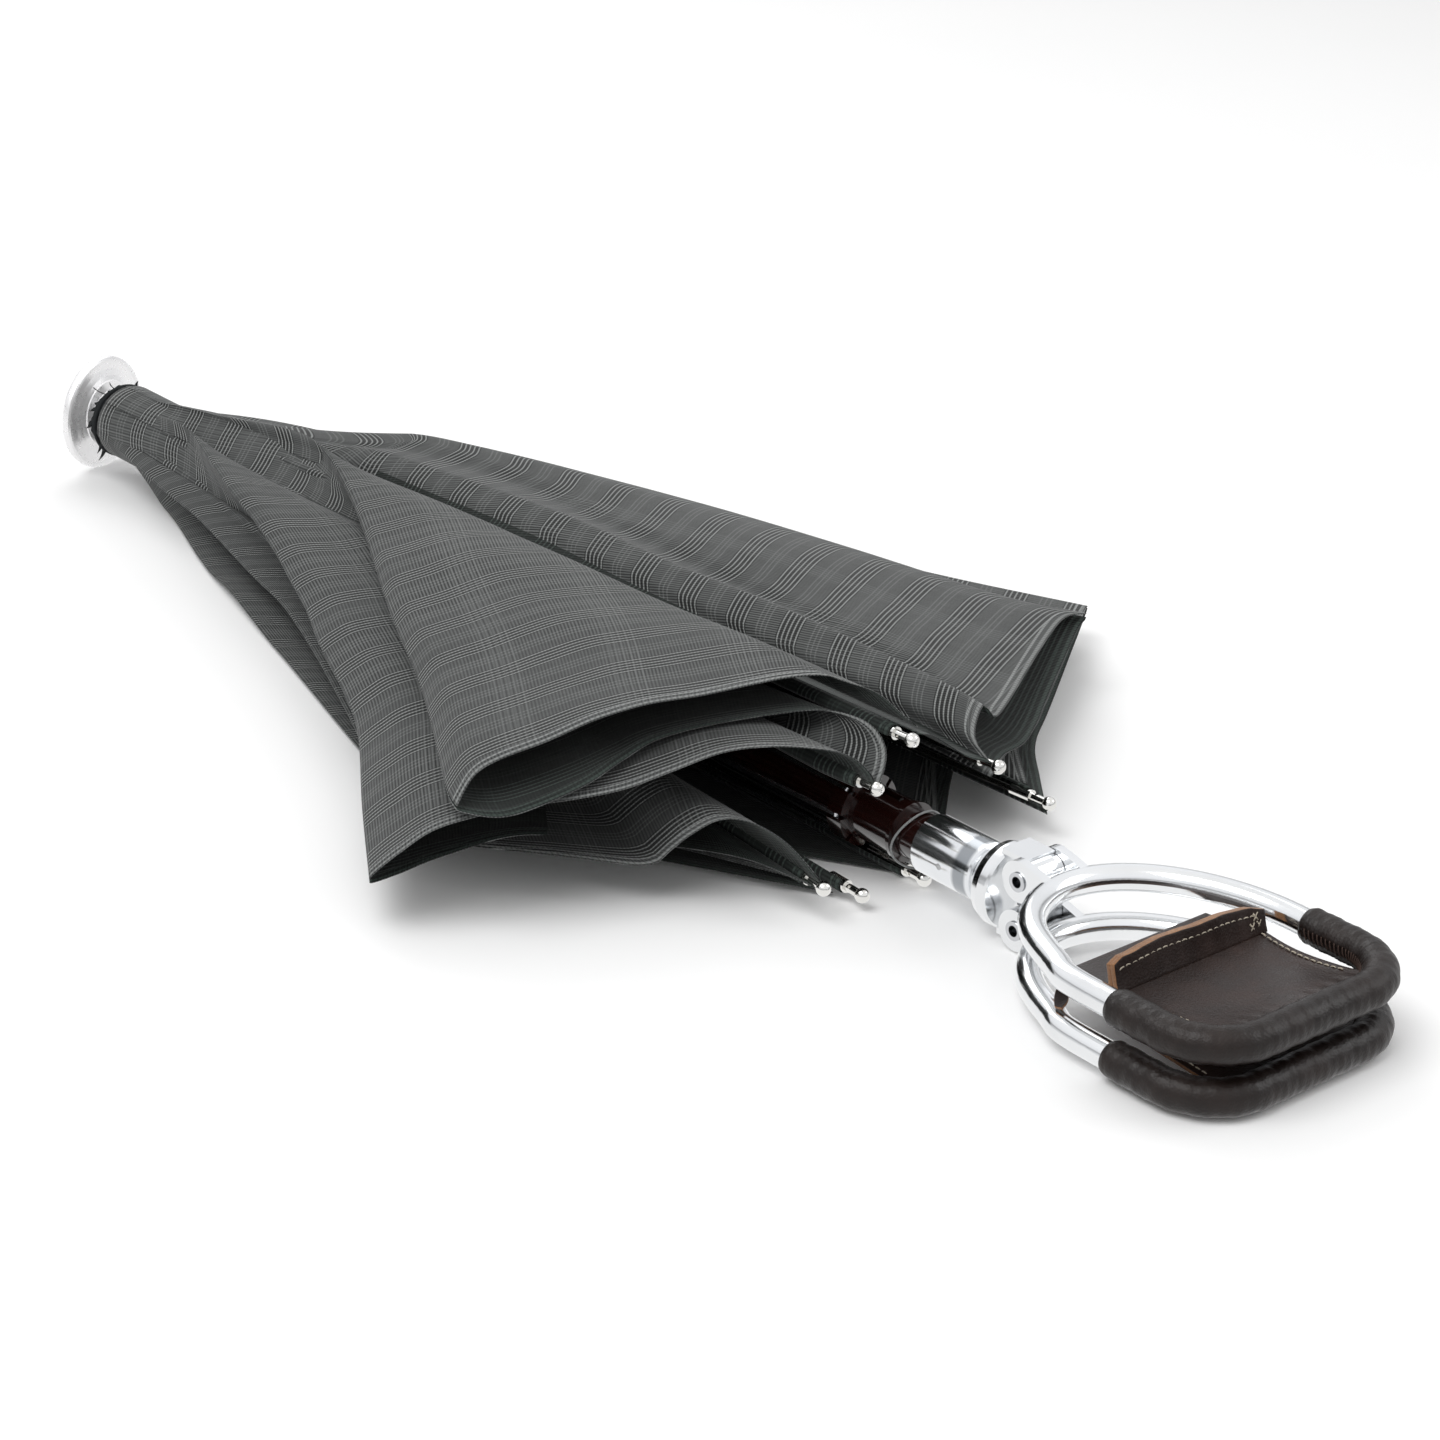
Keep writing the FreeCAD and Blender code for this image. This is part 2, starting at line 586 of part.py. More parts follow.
def tilted(shape):
    shape = shape.copy()
    shape.rotate(V(KNUCKLE_X, 0, 0), V(0, 0, 1), DISC_TILT)
    return shape


pieces = {}
pieces["foot_disc"] = tilted(make_foot_disc())
pieces["disc_pin"] = make_disc_pin()
pieces["ferrule"] = make_ferrule()
pieces["shaft_tube"] = make_shaft()
pieces["crown_notch"] = make_crown_notch()
pieces["crown_wire"] = make_crown_wire()
pieces["crown_cloth"] = make_crown_cloth()
pieces["runner"] = make_runner()
pieces["lower_spring"] = catch(LOWER_CATCH_X, 6.0)
pieces["upper_spring"] = catch(UPPER_CATCH_X, 6.0)
pieces["catch_pins"] = Part.makeCompound([catch_pin(LOWER_CATCH_X), catch_pin(UPPER_CATCH_X)])
pieces["stop_pin"] = stop_pin_rod(1.0 - 0.02)
pieces["tie_loop"] = make_tie_loop()
lengths = []
for n in range(8):
    strut, strut_length = make_stretcher(n)
    lengths.append(strut_length)
    pieces["rib_%d" % (n + 1)] = Part.makeCompound([make_rib(n), make_tip(n)])
    pieces["stretcher_%d" % (n + 1)] = strut
for n in range(8):
    pieces["gore_%da" % (n + 1)] = make_gore_half(n, False)
    pieces["gore_%db" % (n + 1)] = make_gore_half(n, True)
pieces["collar"] = make_collar()
pieces["head_casting"] = make_head()
pieces["head_pin"] = head_pin_rod(1.48)
pieces["hinge_rivets"] = Part.makeCompound([make_rivet(HINGE_Z), make_rivet(-HINGE_Z)])
pieces["upper_loop"] = make_loop(HINGE_Z)
pieces["lower_loop"] = make_loop(-HINGE_Z)
pieces["upper_wrap"] = make_wrap(HINGE_Z)
pieces["lower_wrap"] = make_wrap(-HINGE_Z)
pieces["upper_sling"] = make_upper_sling()
pieces["lower_sling"] = make_lower_sling()

# The stick lies on its foot disc's rim and on the lower bar's leather.
rim_x = KNUCKLE_X - (KNUCKLE_X - 2.8) * math.cos(math.radians(DISC_TILT))
lie = math.degrees(math.atan((DISC_R - HINGE_Z - WRAP_R) / (BAR_X - rim_x)))
for shape in pieces.values():
    shape.rotate(V(0, 0, 0), V(0, 1, 0), lie)
everything = Part.makeCompound(list(pieces.values()))
bounds = everything.optimalBoundingBox(False, False)
home = V(-(bounds.XMin + bounds.XMax) / 2, -(bounds.YMin + bounds.YMax) / 2, -bounds.ZMin)
for name, shape in pieces.items():
    shape.translate(home)
    shape.exportStep("parts/%s.step" % name)


def placed(point):
    """A point of the level stick, where it lies."""
    turn = FreeCAD.Rotation(V(0, 1, 0), lie)
    return turn.multVec(point) + home


def show(label, *vectors):
    numbers = ["%.5f %.5f %.5f" % (v.x, v.y, v.z) for v in vectors]
    print(label, " | ".join(numbers))


print("lie", round(lie, 4))
print("box", [round(v, 3) for v in (bounds.XLength, bounds.YLength, bounds.ZLength)])
print("bottom at foot and bars, before it is set down", round(bounds.ZMin, 3))
print("runner travel", round(RUNNER_TRAVEL, 3))
show("home", home)
show("disc", placed(V(KNUCKLE_X, 0, 0)))
show("hinge_up", placed(V(HINGE_X, 0, HINGE_Z)))
show("hinge_low", placed(V(HINGE_X, 0, -HINGE_Z)))
show("bar_up", placed(V(BAR_X, 0, HINGE_Z)))
show("bar_low", placed(V(BAR_X, 0, -HINGE_Z)))
show("catch_low", placed(V(LOWER_CATCH_X, 0, CATCH_Z)))
show("catch_up", placed(V(UPPER_CATCH_X, 0, CATCH_Z)))
turn = FreeCAD.Rotation(V(0, 1, 0), lie)
for n in range(8):
    end = rib_point(n, RIB_LENGTH) - rib_point(n, 0.0)
    show("rib %d" % (n + 1), placed(rib_pivot(n)), turn.multVec(radial(n)), turn.multVec(sideways(n)),
         placed(rib_point(n, RIB_JOINT)), turn.multVec(end))
    print("rib tilt", round(math.degrees(rib_tilt(n)), 4), "strut", round(lengths[n], 3))
    for half in (False, True):
        rib = (n + 1) % 8 if half else n
        corner = fold_point(n, GORE_FOLDS[n][3])
        show("gore %d%s" % (n + 1, "b" if half else "a"), placed(rib_point(rib, 0.0)),
             placed(rib_point(rib, RIB_LENGTH)), placed(corner))
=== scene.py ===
import math

import bpy
import numpy as np
from mathutils import Matrix, Vector


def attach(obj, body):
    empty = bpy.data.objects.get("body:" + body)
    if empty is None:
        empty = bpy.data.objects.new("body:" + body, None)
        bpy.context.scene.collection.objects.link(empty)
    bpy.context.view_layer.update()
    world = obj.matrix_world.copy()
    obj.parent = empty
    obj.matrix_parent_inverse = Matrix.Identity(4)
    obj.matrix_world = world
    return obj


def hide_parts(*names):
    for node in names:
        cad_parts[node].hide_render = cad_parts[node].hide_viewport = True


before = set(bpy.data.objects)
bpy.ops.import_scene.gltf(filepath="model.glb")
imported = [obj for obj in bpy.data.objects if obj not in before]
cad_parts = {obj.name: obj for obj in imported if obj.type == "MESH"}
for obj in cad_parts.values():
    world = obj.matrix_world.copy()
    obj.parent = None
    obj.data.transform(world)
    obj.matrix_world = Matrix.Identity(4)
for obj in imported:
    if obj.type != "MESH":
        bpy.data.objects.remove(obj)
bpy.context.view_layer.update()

# Sizes in millimetres in the level stick's frame: x along the shaft from the foot disc, y along
# the hinge rivets, z up. place() lays the stick down as the model lies, in metres.
LIE = math.radians(0.7961)
HOME = (-445.45059, -20.97304, 31.75251)

CROWN_X, CROWN_R = 26.0, 14.0
RIB_LENGTH, RIB_JOINT, RIB_BEND = 650.0, 290.0, 60.0
FIRST_RIB = -2.4
# Each rib's tip: its distance from the shaft's axis and its offset along the turn
RIB_TIPS = [(77.2, -2.8), (45.7, -10.8), (49.5, 14.0), (45.3, 0.5),
            (57.7, 8.4), (37.3, -13.4), (18.4, 0.0), (29.0, 5.0)]
# Each gore's fold: its outer corner, the share of it that is cloth, and its sag
GORE_FOLDS = [(522, 255, -6, 1.0, 0), (566, 207, 17, 1.0, 0), (592, -186, 36, 1.0, 0),
              (566, -213, 3, 1.0, 0), (545, -178, -11, 0.95, 2), (540, -150, -20.5, 0.93, 6.5),
              (530, 215, -20.5, 0.98, 8), (524, 246, -13, 1.0, 5)]
DISC_R, KNUCKLE_X = 31.7, 10.5
HINGE_Z, WRAP_R, BAR_R, BAR_X = 11.35, 8.0, 6.0, 892.0
LOOP_HALF, LOOP_CORNER_R, WRAP_START_X = 56.0, 26.5, 840.0
SEAM_X, SLING_FOLD_X, SLING_HALF = 827.0, 797.0, 43.0
COLLAR_END = 714.5

# The cloth's pattern, in metres: cords, pale lines, bands of lines, and blocks of bands
CORD_STEP, LINE_STEP, BAND_STEP, BLOCK_STEP = 0.0016, 0.003, 0.036, 0.054
HEM_STITCH, HEM_EDGE, THREAD_STEP = 0.0016, 0.0052, 0.0026


def place(points):
    p = np.asarray(points, float)
    x, y, z = p[..., 0], p[..., 1], p[..., 2]
    c, s = math.cos(LIE), math.sin(LIE)
    return np.stack([(x * c + z * s + HOME[0]) / 1000, (y + HOME[1]) / 1000,
                     (-x * s + z * c + HOME[2]) / 1000], -1)


def smooth(t):
    t = np.clip(t, 0, 1)
    return t * t * (3 - 2 * t)


# Node materials

class Nodes:
    """Small helper that writes a material's nodes."""

    def __init__(self, name):
        self.mat = bpy.data.materials.new(name)
        self.mat.use_nodes = True
        self.tree = self.mat.node_tree
        self.shader = self.tree.nodes["Principled BSDF"]

    def node(self, kind, **inputs):
        n = self.tree.nodes.new(kind)
        for key, value in inputs.items():
            self.put(n, key.replace("_", " "), value)
        return n

    def put(self, n, key, value):
        socket = n.inputs[int(key)] if str(key).isdigit() else n.inputs[key]
        if isinstance(value, bpy.types.NodeSocket):
            self.tree.links.new(value, socket)
        else:
            socket.default_value = value

    def math(self, op, a, b=0.0):
        n = self.tree.nodes.new("ShaderNodeMath")
        n.operation = op
        self.put(n, 0, a)
        self.put(n, 1, b)
        return n.outputs[0]

    def mix(self, share, a, b):
        n = self.tree.nodes.new("ShaderNodeMix")
        n.data_type = "RGBA"
        self.put(n, 0, share)
        self.put(n, 6, a)
        self.put(n, 7, b)
        return n.outputs[2]

    def coordinates(self, uv=None, scale=(1, 1, 1)):
        if uv:
            source = self.tree.nodes.new("ShaderNodeUVMap")
            source.uv_map = uv
            out = source.outputs[0]
        else:
            out = self.tree.nodes.new("ShaderNodeTexCoord").outputs["Object"]
        mapping = self.node("ShaderNodeMapping", Vector=out)
        mapping.inputs["Scale"].default_value = scale
        return mapping.outputs[0]

    def noise(self, scale, detail=3.0, rough=0.5, vector=None):
        n = self.node("ShaderNodeTexNoise", Scale=scale, Detail=detail, Roughness=rough)
        self.put(n, "Vector", vector if vector is not None else self.coordinates())
        return n.outputs[0]

    def ramp(self, value, low, high, a=0.0, b=1.0):
        n = self.tree.nodes.new("ShaderNodeMapRange")
        for i, v in enumerate((value, low, high, a, b)):
            self.put(n, i, v)
        return n.outputs[0]

    def bump(self, height, strength, distance, normal=None):
        n = self.node("ShaderNodeBump", Height=height, Strength=strength, Distance=distance)
        if normal is not None:
            self.put(n, "Normal", normal)
        return n.outputs[0]

    def set(self, **inputs):
        for key, value in inputs.items():
            self.put(self.shader, key.replace("_", " "), value)
        return self.mat


def colour(r, g, b):
    return (r, g, b, 1.0)


def cloth_material(name, dark, mid, pale, tint):
    """Grey umbrella cloth: fine cords along the gore, bands of thin pale lines across it, and a
    stitched hem. UV map flat is the cut in metres, UV map hem the way in from the hem."""
    m = Nodes(name)
    flat = m.tree.nodes.new("ShaderNodeUVMap")
    flat.uv_map = "flat"
    split = m.node("ShaderNodeSeparateXYZ", Vector=flat.outputs[0])
    x, y = split.outputs[0], split.outputs[1]
    hem = m.tree.nodes.new("ShaderNodeUVMap")
    hem.uv_map = "hem"
    hem_in = m.node("ShaderNodeSeparateXYZ", Vector=hem.outputs[0]).outputs[0]

    def part(value, period):
        return m.math("FRACT", m.math("DIVIDE", value, period))

    def line(value, period, width):
        """1 on a soft line once in each period."""
        away = m.math("ABSOLUTE", m.math("SUBTRACT", part(value, period), 0.5))
        return m.ramp(away, width, width * 0.55)

    def within(value, period, low, high):
        """1 in a band between two shares of each period."""
        t = part(value, period)
        return m.math("MULTIPLY", m.ramp(t, low, low + 0.012), m.ramp(t, high, high - 0.012))

    slub = m.noise(90.0, 4.0, 0.6, m.coordinates("flat", (1, 9, 1)))
    wavy_x = m.math("ADD", x, m.math("MULTIPLY", slub, 0.0003))
    cords = m.math("SINE", m.math("MULTIPLY", wavy_x, 2 * math.pi / CORD_STEP))
    fine = line(y, LINE_STEP, 0.2)
    band = within(y, BAND_STEP, 0.0, 0.4167)
    weak = within(y, BAND_STEP, 0.58, 0.8334)
    across = within(x, BLOCK_STEP, 0.1, 0.42)
    lines = m.math("MULTIPLY", fine, band)
    ghost = m.math("MULTIPLY", fine, m.math("MULTIPLY", weak, 0.32))
    check = m.math("MULTIPLY", m.math("MULTIPLY", line(x, LINE_STEP, 0.2), across), 0.2)
    pale_share = m.math("MAXIMUM", m.math("MAXIMUM", lines, ghost), check)
    pale_share = m.math("MULTIPLY", pale_share, m.ramp(cords, -1.0, 1.0, 0.55, 0.95))
    ground = m.mix(m.ramp(cords, -0.7, 0.55), dark, mid)
    plain = m.ramp(m.noise(9.0, 2.0, 0.5), 0.42, 0.62, 0.08, 0.62)
    ground = m.mix(plain, ground, tint)
    between = m.math("MULTIPLY", m.math("SUBTRACT", 1.0, fine), m.math("MULTIPLY", band, 0.9))
    base = m.mix(pale_share, m.mix(between, ground, dark), pale)
    stitch = m.math("MAXIMUM",
                    m.ramp(m.math("ABSOLUTE", m.math("SUBTRACT", hem_in, HEM_STITCH)), 0.0011, 0.0006),
                    m.ramp(m.math("ABSOLUTE", m.math("SUBTRACT", hem_in, HEM_EDGE)), 0.0008, 0.0004))
    thread = m.ramp(m.math("SINE", m.math("MULTIPLY", x, 2 * math.pi / THREAD_STEP)), -0.7, 0.3, 0.45, 0.85)
    base = m.mix(m.math("MULTIPLY", stitch, thread), base, pale)
    height = m.math("ADD", m.math("MULTIPLY", cords, 0.45), m.math("MULTIPLY", lines, 0.6))
    height = m.math("ADD", height, m.math("MULTIPLY", m.ramp(hem_in, 0.0072, 0.0062), 1.2))
    soft = m.bump(m.noise(26.0, 4.0, 0.55), 0.5, 0.0032)
    m.set(Base_Color=base, Roughness=m.ramp(slub, 0.3, 0.7, 0.72, 0.9),
          Normal=m.bump(height, 0.55, 0.00022, soft))
    m.set(Sheen_Weight=0.12, Sheen_Roughness=0.5, Specular_IOR_Level=0.22)
    return m.mat


def metal_material(name, tone, rough, metallic=1.0):
    m = Nodes(name)
    marks = m.noise(240.0, 3.0, 0.6)
    patches = m.noise(26.0, 3.0, 0.5)
    base = m.mix(m.ramp(patches, 0.3, 0.72), colour(*[t * 0.9 for t in tone]), colour(*tone))
    m.set(Base_Color=base, Metallic=metallic, Roughness=m.ramp(marks, 0.3, 0.75, rough, rough + 0.05),
          Normal=m.bump(patches, 0.03, 0.0006))
    return m.mat


def leather_material(name, tone, scale=900.0, rough=0.42):
    m = Nodes(name)
    grain = m.node("ShaderNodeTexVoronoi", Scale=scale, Vector=m.coordinates())
    mottle = m.noise(60.0, 5.0, 0.6)
    wide = m.noise(18.0, 3.0, 0.5)
    worn = m.mix(m.ramp(mottle, 0.42, 0.75), colour(*tone), colour(*[t * 1.9 for t in tone]))
    base = m.mix(m.ramp(wide, 0.35, 0.7, 0.0, 0.55), worn, colour(*[t * 0.45 for t in tone]))
    m.set(Base_Color=base, Roughness=m.ramp(mottle, 0.3, 0.7, rough, rough + 0.16),
          Normal=m.bump(grain.outputs[0], 0.28, 0.0004, m.bump(mottle, 0.25, 0.0012)))
    m.set(Specular_IOR_Level=0.34)
    return m.mat


def suede_material(name, tone):
    m = Nodes(name)
    fibres = m.noise(1400.0, 5.0, 0.7)
    patches = m.noise(120.0, 4.0, 0.6)
    base = m.mix(m.ramp(fibres, 0.3, 0.7), colour(*[t * 0.5 for t in tone]), colour(*tone))
    pale = colour(tone[0] * 1.5, tone[1] * 1.6, tone[2] * 1.7)
    base = m.mix(m.ramp(patches, 0.45, 0.75, 0.0, 0.6), base, pale)
    m.set(Base_Color=base, Roughness=0.92, Normal=m.bump(fibres, 0.5, 0.0008))
    m.set(Sheen_Weight=0.3)
    return m.mat


def thread_material(name, tone):
    m = Nodes(name)
    twist = m.node("ShaderNodeTexWave", Scale=900.0, Distortion=1.0, Vector=m.coordinates())
    base = m.mix(m.ramp(twist.outputs[1], 0.2, 0.8), colour(*[t * 0.55 for t in tone]), colour(*tone))
    m.set(Base_Color=base, Roughness=0.8, Normal=m.bump(twist.outputs[1], 0.3, 0.0002))
    return m.mat


def lacquer_material(name):
    m = Nodes(name)
    grain = m.noise(70.0, 5.0, 0.6, m.coordinates(scale=(0.12, 1, 1)))
    base = m.mix(m.ramp(grain, 0.3, 0.75), colour(0.006, 0.0012, 0.001), colour(0.024, 0.0045, 0.003))
    m.set(Base_Color=base, Roughness=m.ramp(grain, 0.3, 0.7, 0.16, 0.24))
    m.set(Coat_Weight=0.8, Coat_Roughness=0.05)
    return m.mat


def bright_metal_by_length(name):
    """Polished collar: bright, with a dark band of painted reflection at its seat end."""
    m = Nodes(name)
    position = m.node("ShaderNodeSeparateXYZ", Vector=m.coordinates()).outputs[0]
    end = float(place([COLLAR_END, 0, 0])[0])
    # painted reflection: a dark band across the collar near its seat end, mixed into the base colour
    band = m.math("MULTIPLY", m.ramp(position, end - 0.0105, end - 0.0085),
                  m.ramp(position, end - 0.0012, end - 0.0028))
    patches = m.noise(40.0, 3.0, 0.5)
    shade = m.mix(m.ramp(patches, 0.3, 0.7), colour(0.74, 0.76, 0.78), colour(0.83, 0.84, 0.86))
    base = m.mix(m.math("MULTIPLY", band, 0.72), shade, colour(0.16, 0.18, 0.2))
    m.set(Base_Color=base, Metallic=1.0, Roughness=m.ramp(patches, 0.3, 0.7, 0.09, 0.16),
          Normal=m.bump(patches, 0.03, 0.0006))
    return m.mat


cloth_outer = cloth_material("check_cloth_outer", colour(0.007, 0.0076, 0.0074),
                             colour(0.108, 0.113, 0.111), colour(0.27, 0.28, 0.275),
                             colour(0.052, 0.0545, 0.054))
# darker copy of the same cloth, painted shade: the canopy's inner side, the rear gap and the seams in the
# folds
painted_shade_cloth = cloth_material("check_cloth_painted_shade", colour(0.004, 0.0052, 0.0046),
                             colour(0.016, 0.021, 0.0185), colour(0.05, 0.066, 0.058),
                             colour(0.01, 0.013, 0.0115))
black_cloth = leather_material("frayed_black_cloth", (0.010, 0.012, 0.013), 1500.0, 0.8)
aluminium = metal_material("polished_aluminium_cast", (0.86, 0.87, 0.88), 0.13)
disc_metal = metal_material("polished_aluminium_turned", (0.97, 0.965, 0.97), 0.26, 0.55)
collar_painted_reflection = bright_metal_by_length("polished_collar_painted_reflection")
nickel = metal_material("bright_nickel_plate", (0.8, 0.79, 0.76), 0.08)
steel = metal_material("rivet_steel", (0.62, 0.63, 0.65), 0.16)
lacquer = lacquer_material("mahogany_lacquer_coat")
leather = leather_material("dark_brown_leather", (0.019, 0.0105, 0.0085), 900.0, 0.3)
wrap_leather = leather_material("wrap_leather", (0.0095, 0.0054, 0.0042), 800.0, 0.34)
suede = suede_material("raw_leather_edge", (0.30, 0.135, 0.05))
cream = thread_material("cream_thread", (0.62, 0.55, 0.44))
brown_thread = thread_material("brown_thread", (0.05, 0.024, 0.016))
grey_cord = thread_material("grey_loop_cord", (0.32, 0.33, 0.33))

NODE_FINISH = {"foot_disc": disc_metal, "disc_pin": steel, "ferrule": aluminium, "shaft_tube": lacquer,
               "crown_notch": aluminium, "crown_wire": steel, "runner": lacquer, "lower_spring": steel,
               "upper_spring": steel, "catch_pins": steel, "stop_pin": steel, "head_pin": steel,
               "collar": collar_painted_reflection, "head_casting": aluminium, "hinge_rivets": steel,
               "upper_loop": aluminium, "lower_loop": aluminium}
for number in range(1, 9):
    NODE_FINISH["rib_%d" % number] = nickel
    NODE_FINISH["stretcher_%d" % number] = steel
for name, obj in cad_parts.items():
    finish = NODE_FINISH.get(name, leather)
    if not obj.material_slots:
        obj.data.materials.append(finish)
    for holder in obj.material_slots:
        holder.material = finish


# Mesh building

def linked(name, data):
    obj = bpy.data.objects.new(name, data)
    bpy.context.scene.collection.objects.link(obj)
    return obj


def mesh_piece(name, points, faces, materials):
    """Smooth shaded piece from points in the level stick's frame."""
    mesh = bpy.data.meshes.new(name)
    mesh.from_pydata([tuple(p) for p in place(points)], [], [tuple(f) for f in faces])
    mesh.update()
    for material in materials:
        mesh.materials.append(material)
    mesh.polygons.foreach_set("use_smooth", [True] * len(mesh.polygons))
    return linked(name, mesh)


def grid_faces(rows, columns, wrap=False):
    faces = []
    for i in range(rows - 1):
        for j in range(columns if wrap else columns - 1):
            k = (j + 1) % columns
            faces.append((i * columns + j, i * columns + k, (i + 1) * columns + k, (i + 1) * columns + j))
    return faces


def spline(points, count, closed=False):
    """Smooth run of points through the given ones."""
    p = np.asarray(points, float)
    if closed:
        p = np.vstack([p[-1], p, p[0], p[1]])
    else:
        p = np.vstack([2 * p[0] - p[1], p, 2 * p[-1] - p[-2]])
    out = []
    spans = len(p) - 3
    for t in np.linspace(0, spans, count, endpoint=not closed):
        i = min(int(t), spans - 1)
        f = t - i
        a, b, c, d = p[i:i + 4]
        out.append(0.5 * (2 * b + (c - a) * f + (2 * a - 5 * b + 4 * c - d) * f * f
                          + (3 * b - a - 3 * c + d) * f ** 3))
    return np.array(out)


def even(points, count):
    """The same line with evenly spaced points."""
    p = np.asarray(points, float)
    run = np.concatenate([[0], np.cumsum(np.linalg.norm(np.diff(p, axis=0), axis=1))])
    t = np.linspace(0, run[-1], count)
    return np.stack([np.interp(t, run, p[:, k]) for k in range(3)], 1)


def tube(name, line, radius, material, sides, closed=False):
    """Round tube along a line of points."""
    p = np.asarray(line, float)
    n = len(p)
    tangent = np.roll(p, -1, 0) - np.roll(p, 1, 0)
    if not closed:
        tangent[0], tangent[-1] = p[1] - p[0], p[-1] - p[-2]
    tangent /= np.linalg.norm(tangent, axis=1)[:, None]
    normal = np.cross(tangent[0], (0, 0, 1.0))
    if np.linalg.norm(normal) < 1e-3:
        normal = np.cross(tangent[0], (0, 1.0, 0))
    points = []
    for i in range(n):
        normal = normal - tangent[i] * normal.dot(tangent[i])
        normal /= np.linalg.norm(normal)
        other = np.cross(tangent[i], normal)
        for k in range(sides):
            a = 2 * math.pi * k / sides
            points.append(p[i] + (normal * math.cos(a) + other * math.sin(a)) * radius)
    faces = grid_faces(n, sides, True)
    if closed:
        last = (n - 1) * sides
        faces += [(last + j, last + (j + 1) % sides, (j + 1) % sides, j) for j in range(sides)]
    else:
        faces.append(tuple(range(sides))[::-1])
        faces.append(tuple((n - 1) * sides + k for k in range(sides)))
    return mesh_piece(name, points, faces, [material])


def joined(name, parts):
    """One object from several, with their materials."""
    with bpy.context.temp_override(active_object=parts[0], object=parts[0],
                                   selected_objects=parts, selected_editable_objects=parts):
        bpy.ops.object.join()
    parts[0].name = name
    parts[0].data.name = name
    return parts[0]


# Ribs and canopy, from the part's own sizes

def rib_axes(index):
    """Directions at a rib: out from the shaft, and along the turn."""
    a = math.radians(FIRST_RIB + 45.0 * index)
    return np.array([0, math.cos(a), math.sin(a)]), np.array([0, -math.sin(a), math.cos(a)])


def rib_point(index, along):
    """Point on a rib's line. Beyond its bend the rib leans to its own side."""
    out, side = rib_axes(index)
    tilt = math.asin((RIB_TIPS[index][0] - CROWN_R) / RIB_LENGTH)
    start = RIB_JOINT + RIB_BEND
    share = max(0.0, along - start) / (RIB_LENGTH - start)
    straight = np.array([math.cos(tilt), 0, 0]) + out * math.sin(tilt)
    return np.array([CROWN_X, 0, 0]) + out * CROWN_R + straight * along + side * RIB_TIPS[index][1] * share


def floor_z(x):
    """Height of the ground under the stick, which rests on its disc and lower bar."""
    return -DISC_R + (DISC_R - HINGE_Z - WRAP_R) * (x - KNUCKLE_X) / (BAR_X - KNUCKLE_X)


def cad_fold(gore, share):
    """Point on a gore's fold as in the part: star shaped at the crown, fallen further out."""
    second = (gore + 1) % 8
    x, y, z, _, sag = GORE_FOLDS[gore]
    middle = (rib_point(gore, RIB_LENGTH * share) + rib_point(second, RIB_LENGTH * share)) / 2
    final = np.array([x, y, z]) - (rib_point(gore, RIB_LENGTH) + rib_point(second, RIB_LENGTH)) / 2
    a = math.radians(FIRST_RIB + 45.0 * gore + 22.5)
    star = np.array([0, math.cos(a), math.sin(a)])
    width = math.hypot(final[1], final[2])
    fallen = np.array([0, final[1], final[2]]) / width
    ease = float(smooth(share / 0.4))
    mixed = star * (1 - ease) + fallen * ease
    mixed /= np.linalg.norm(mixed)
    p = middle + mixed * width * share + np.array([final[0] * share, 0, -sag * 4 * share * (1 - share)])
    p[2] = max(p[2], floor_z(p[0]) + 2.8)
    return p


# Folded edges that the photo shows, from the crown to the hem's corner
SEEN_FOLDS = {
    1: [(26, 10, 11), (66, 22, 14), (120, 42, 16), (173, 76, 17), (201, 94, 17), (265, 125, 17),
        (343, 150, 17), (435, 171, 17), (524, 189, 17), (566, 207, 17)],
    2: [(26, -1, 15), (80, 0, 24), (122, 4, 29), (160, 12, 33), (185, 15, 34), (217, 6, 34),
        (258.6, -12, 34), (308, -36.5, 35), (358, -63, 35), (399, -84.7, 35), (445, -107.5, 35),
        (475, -122, 35), (513.5, -143, 35.5), (575, -178.7, 36), (592, -186, 36)],
    3: [(26, -10, 12), (98, -10, 21), (148.6, -25.5, 22), (197.6, -42.6, 22), (237, -53.5, 20),
        (273.5, -65.3, 18), (307, -78, 16), (336, -89, 14), (369, -104, 12), (420, -124.6, 10),
        (455.5, -142, 8), (509.5, -177.5, 5), (566, -213, 3)],
    4: [(26, -16, -3), (53.6, -19.8, -6), (105.4, -28.5, -8), (156.9, -36, -9), (232, -54, -10),
        (283.4, -65.8, -10), (364.9, -95.8, -11), (440, -128, -11), (519, -170, -11)],
}
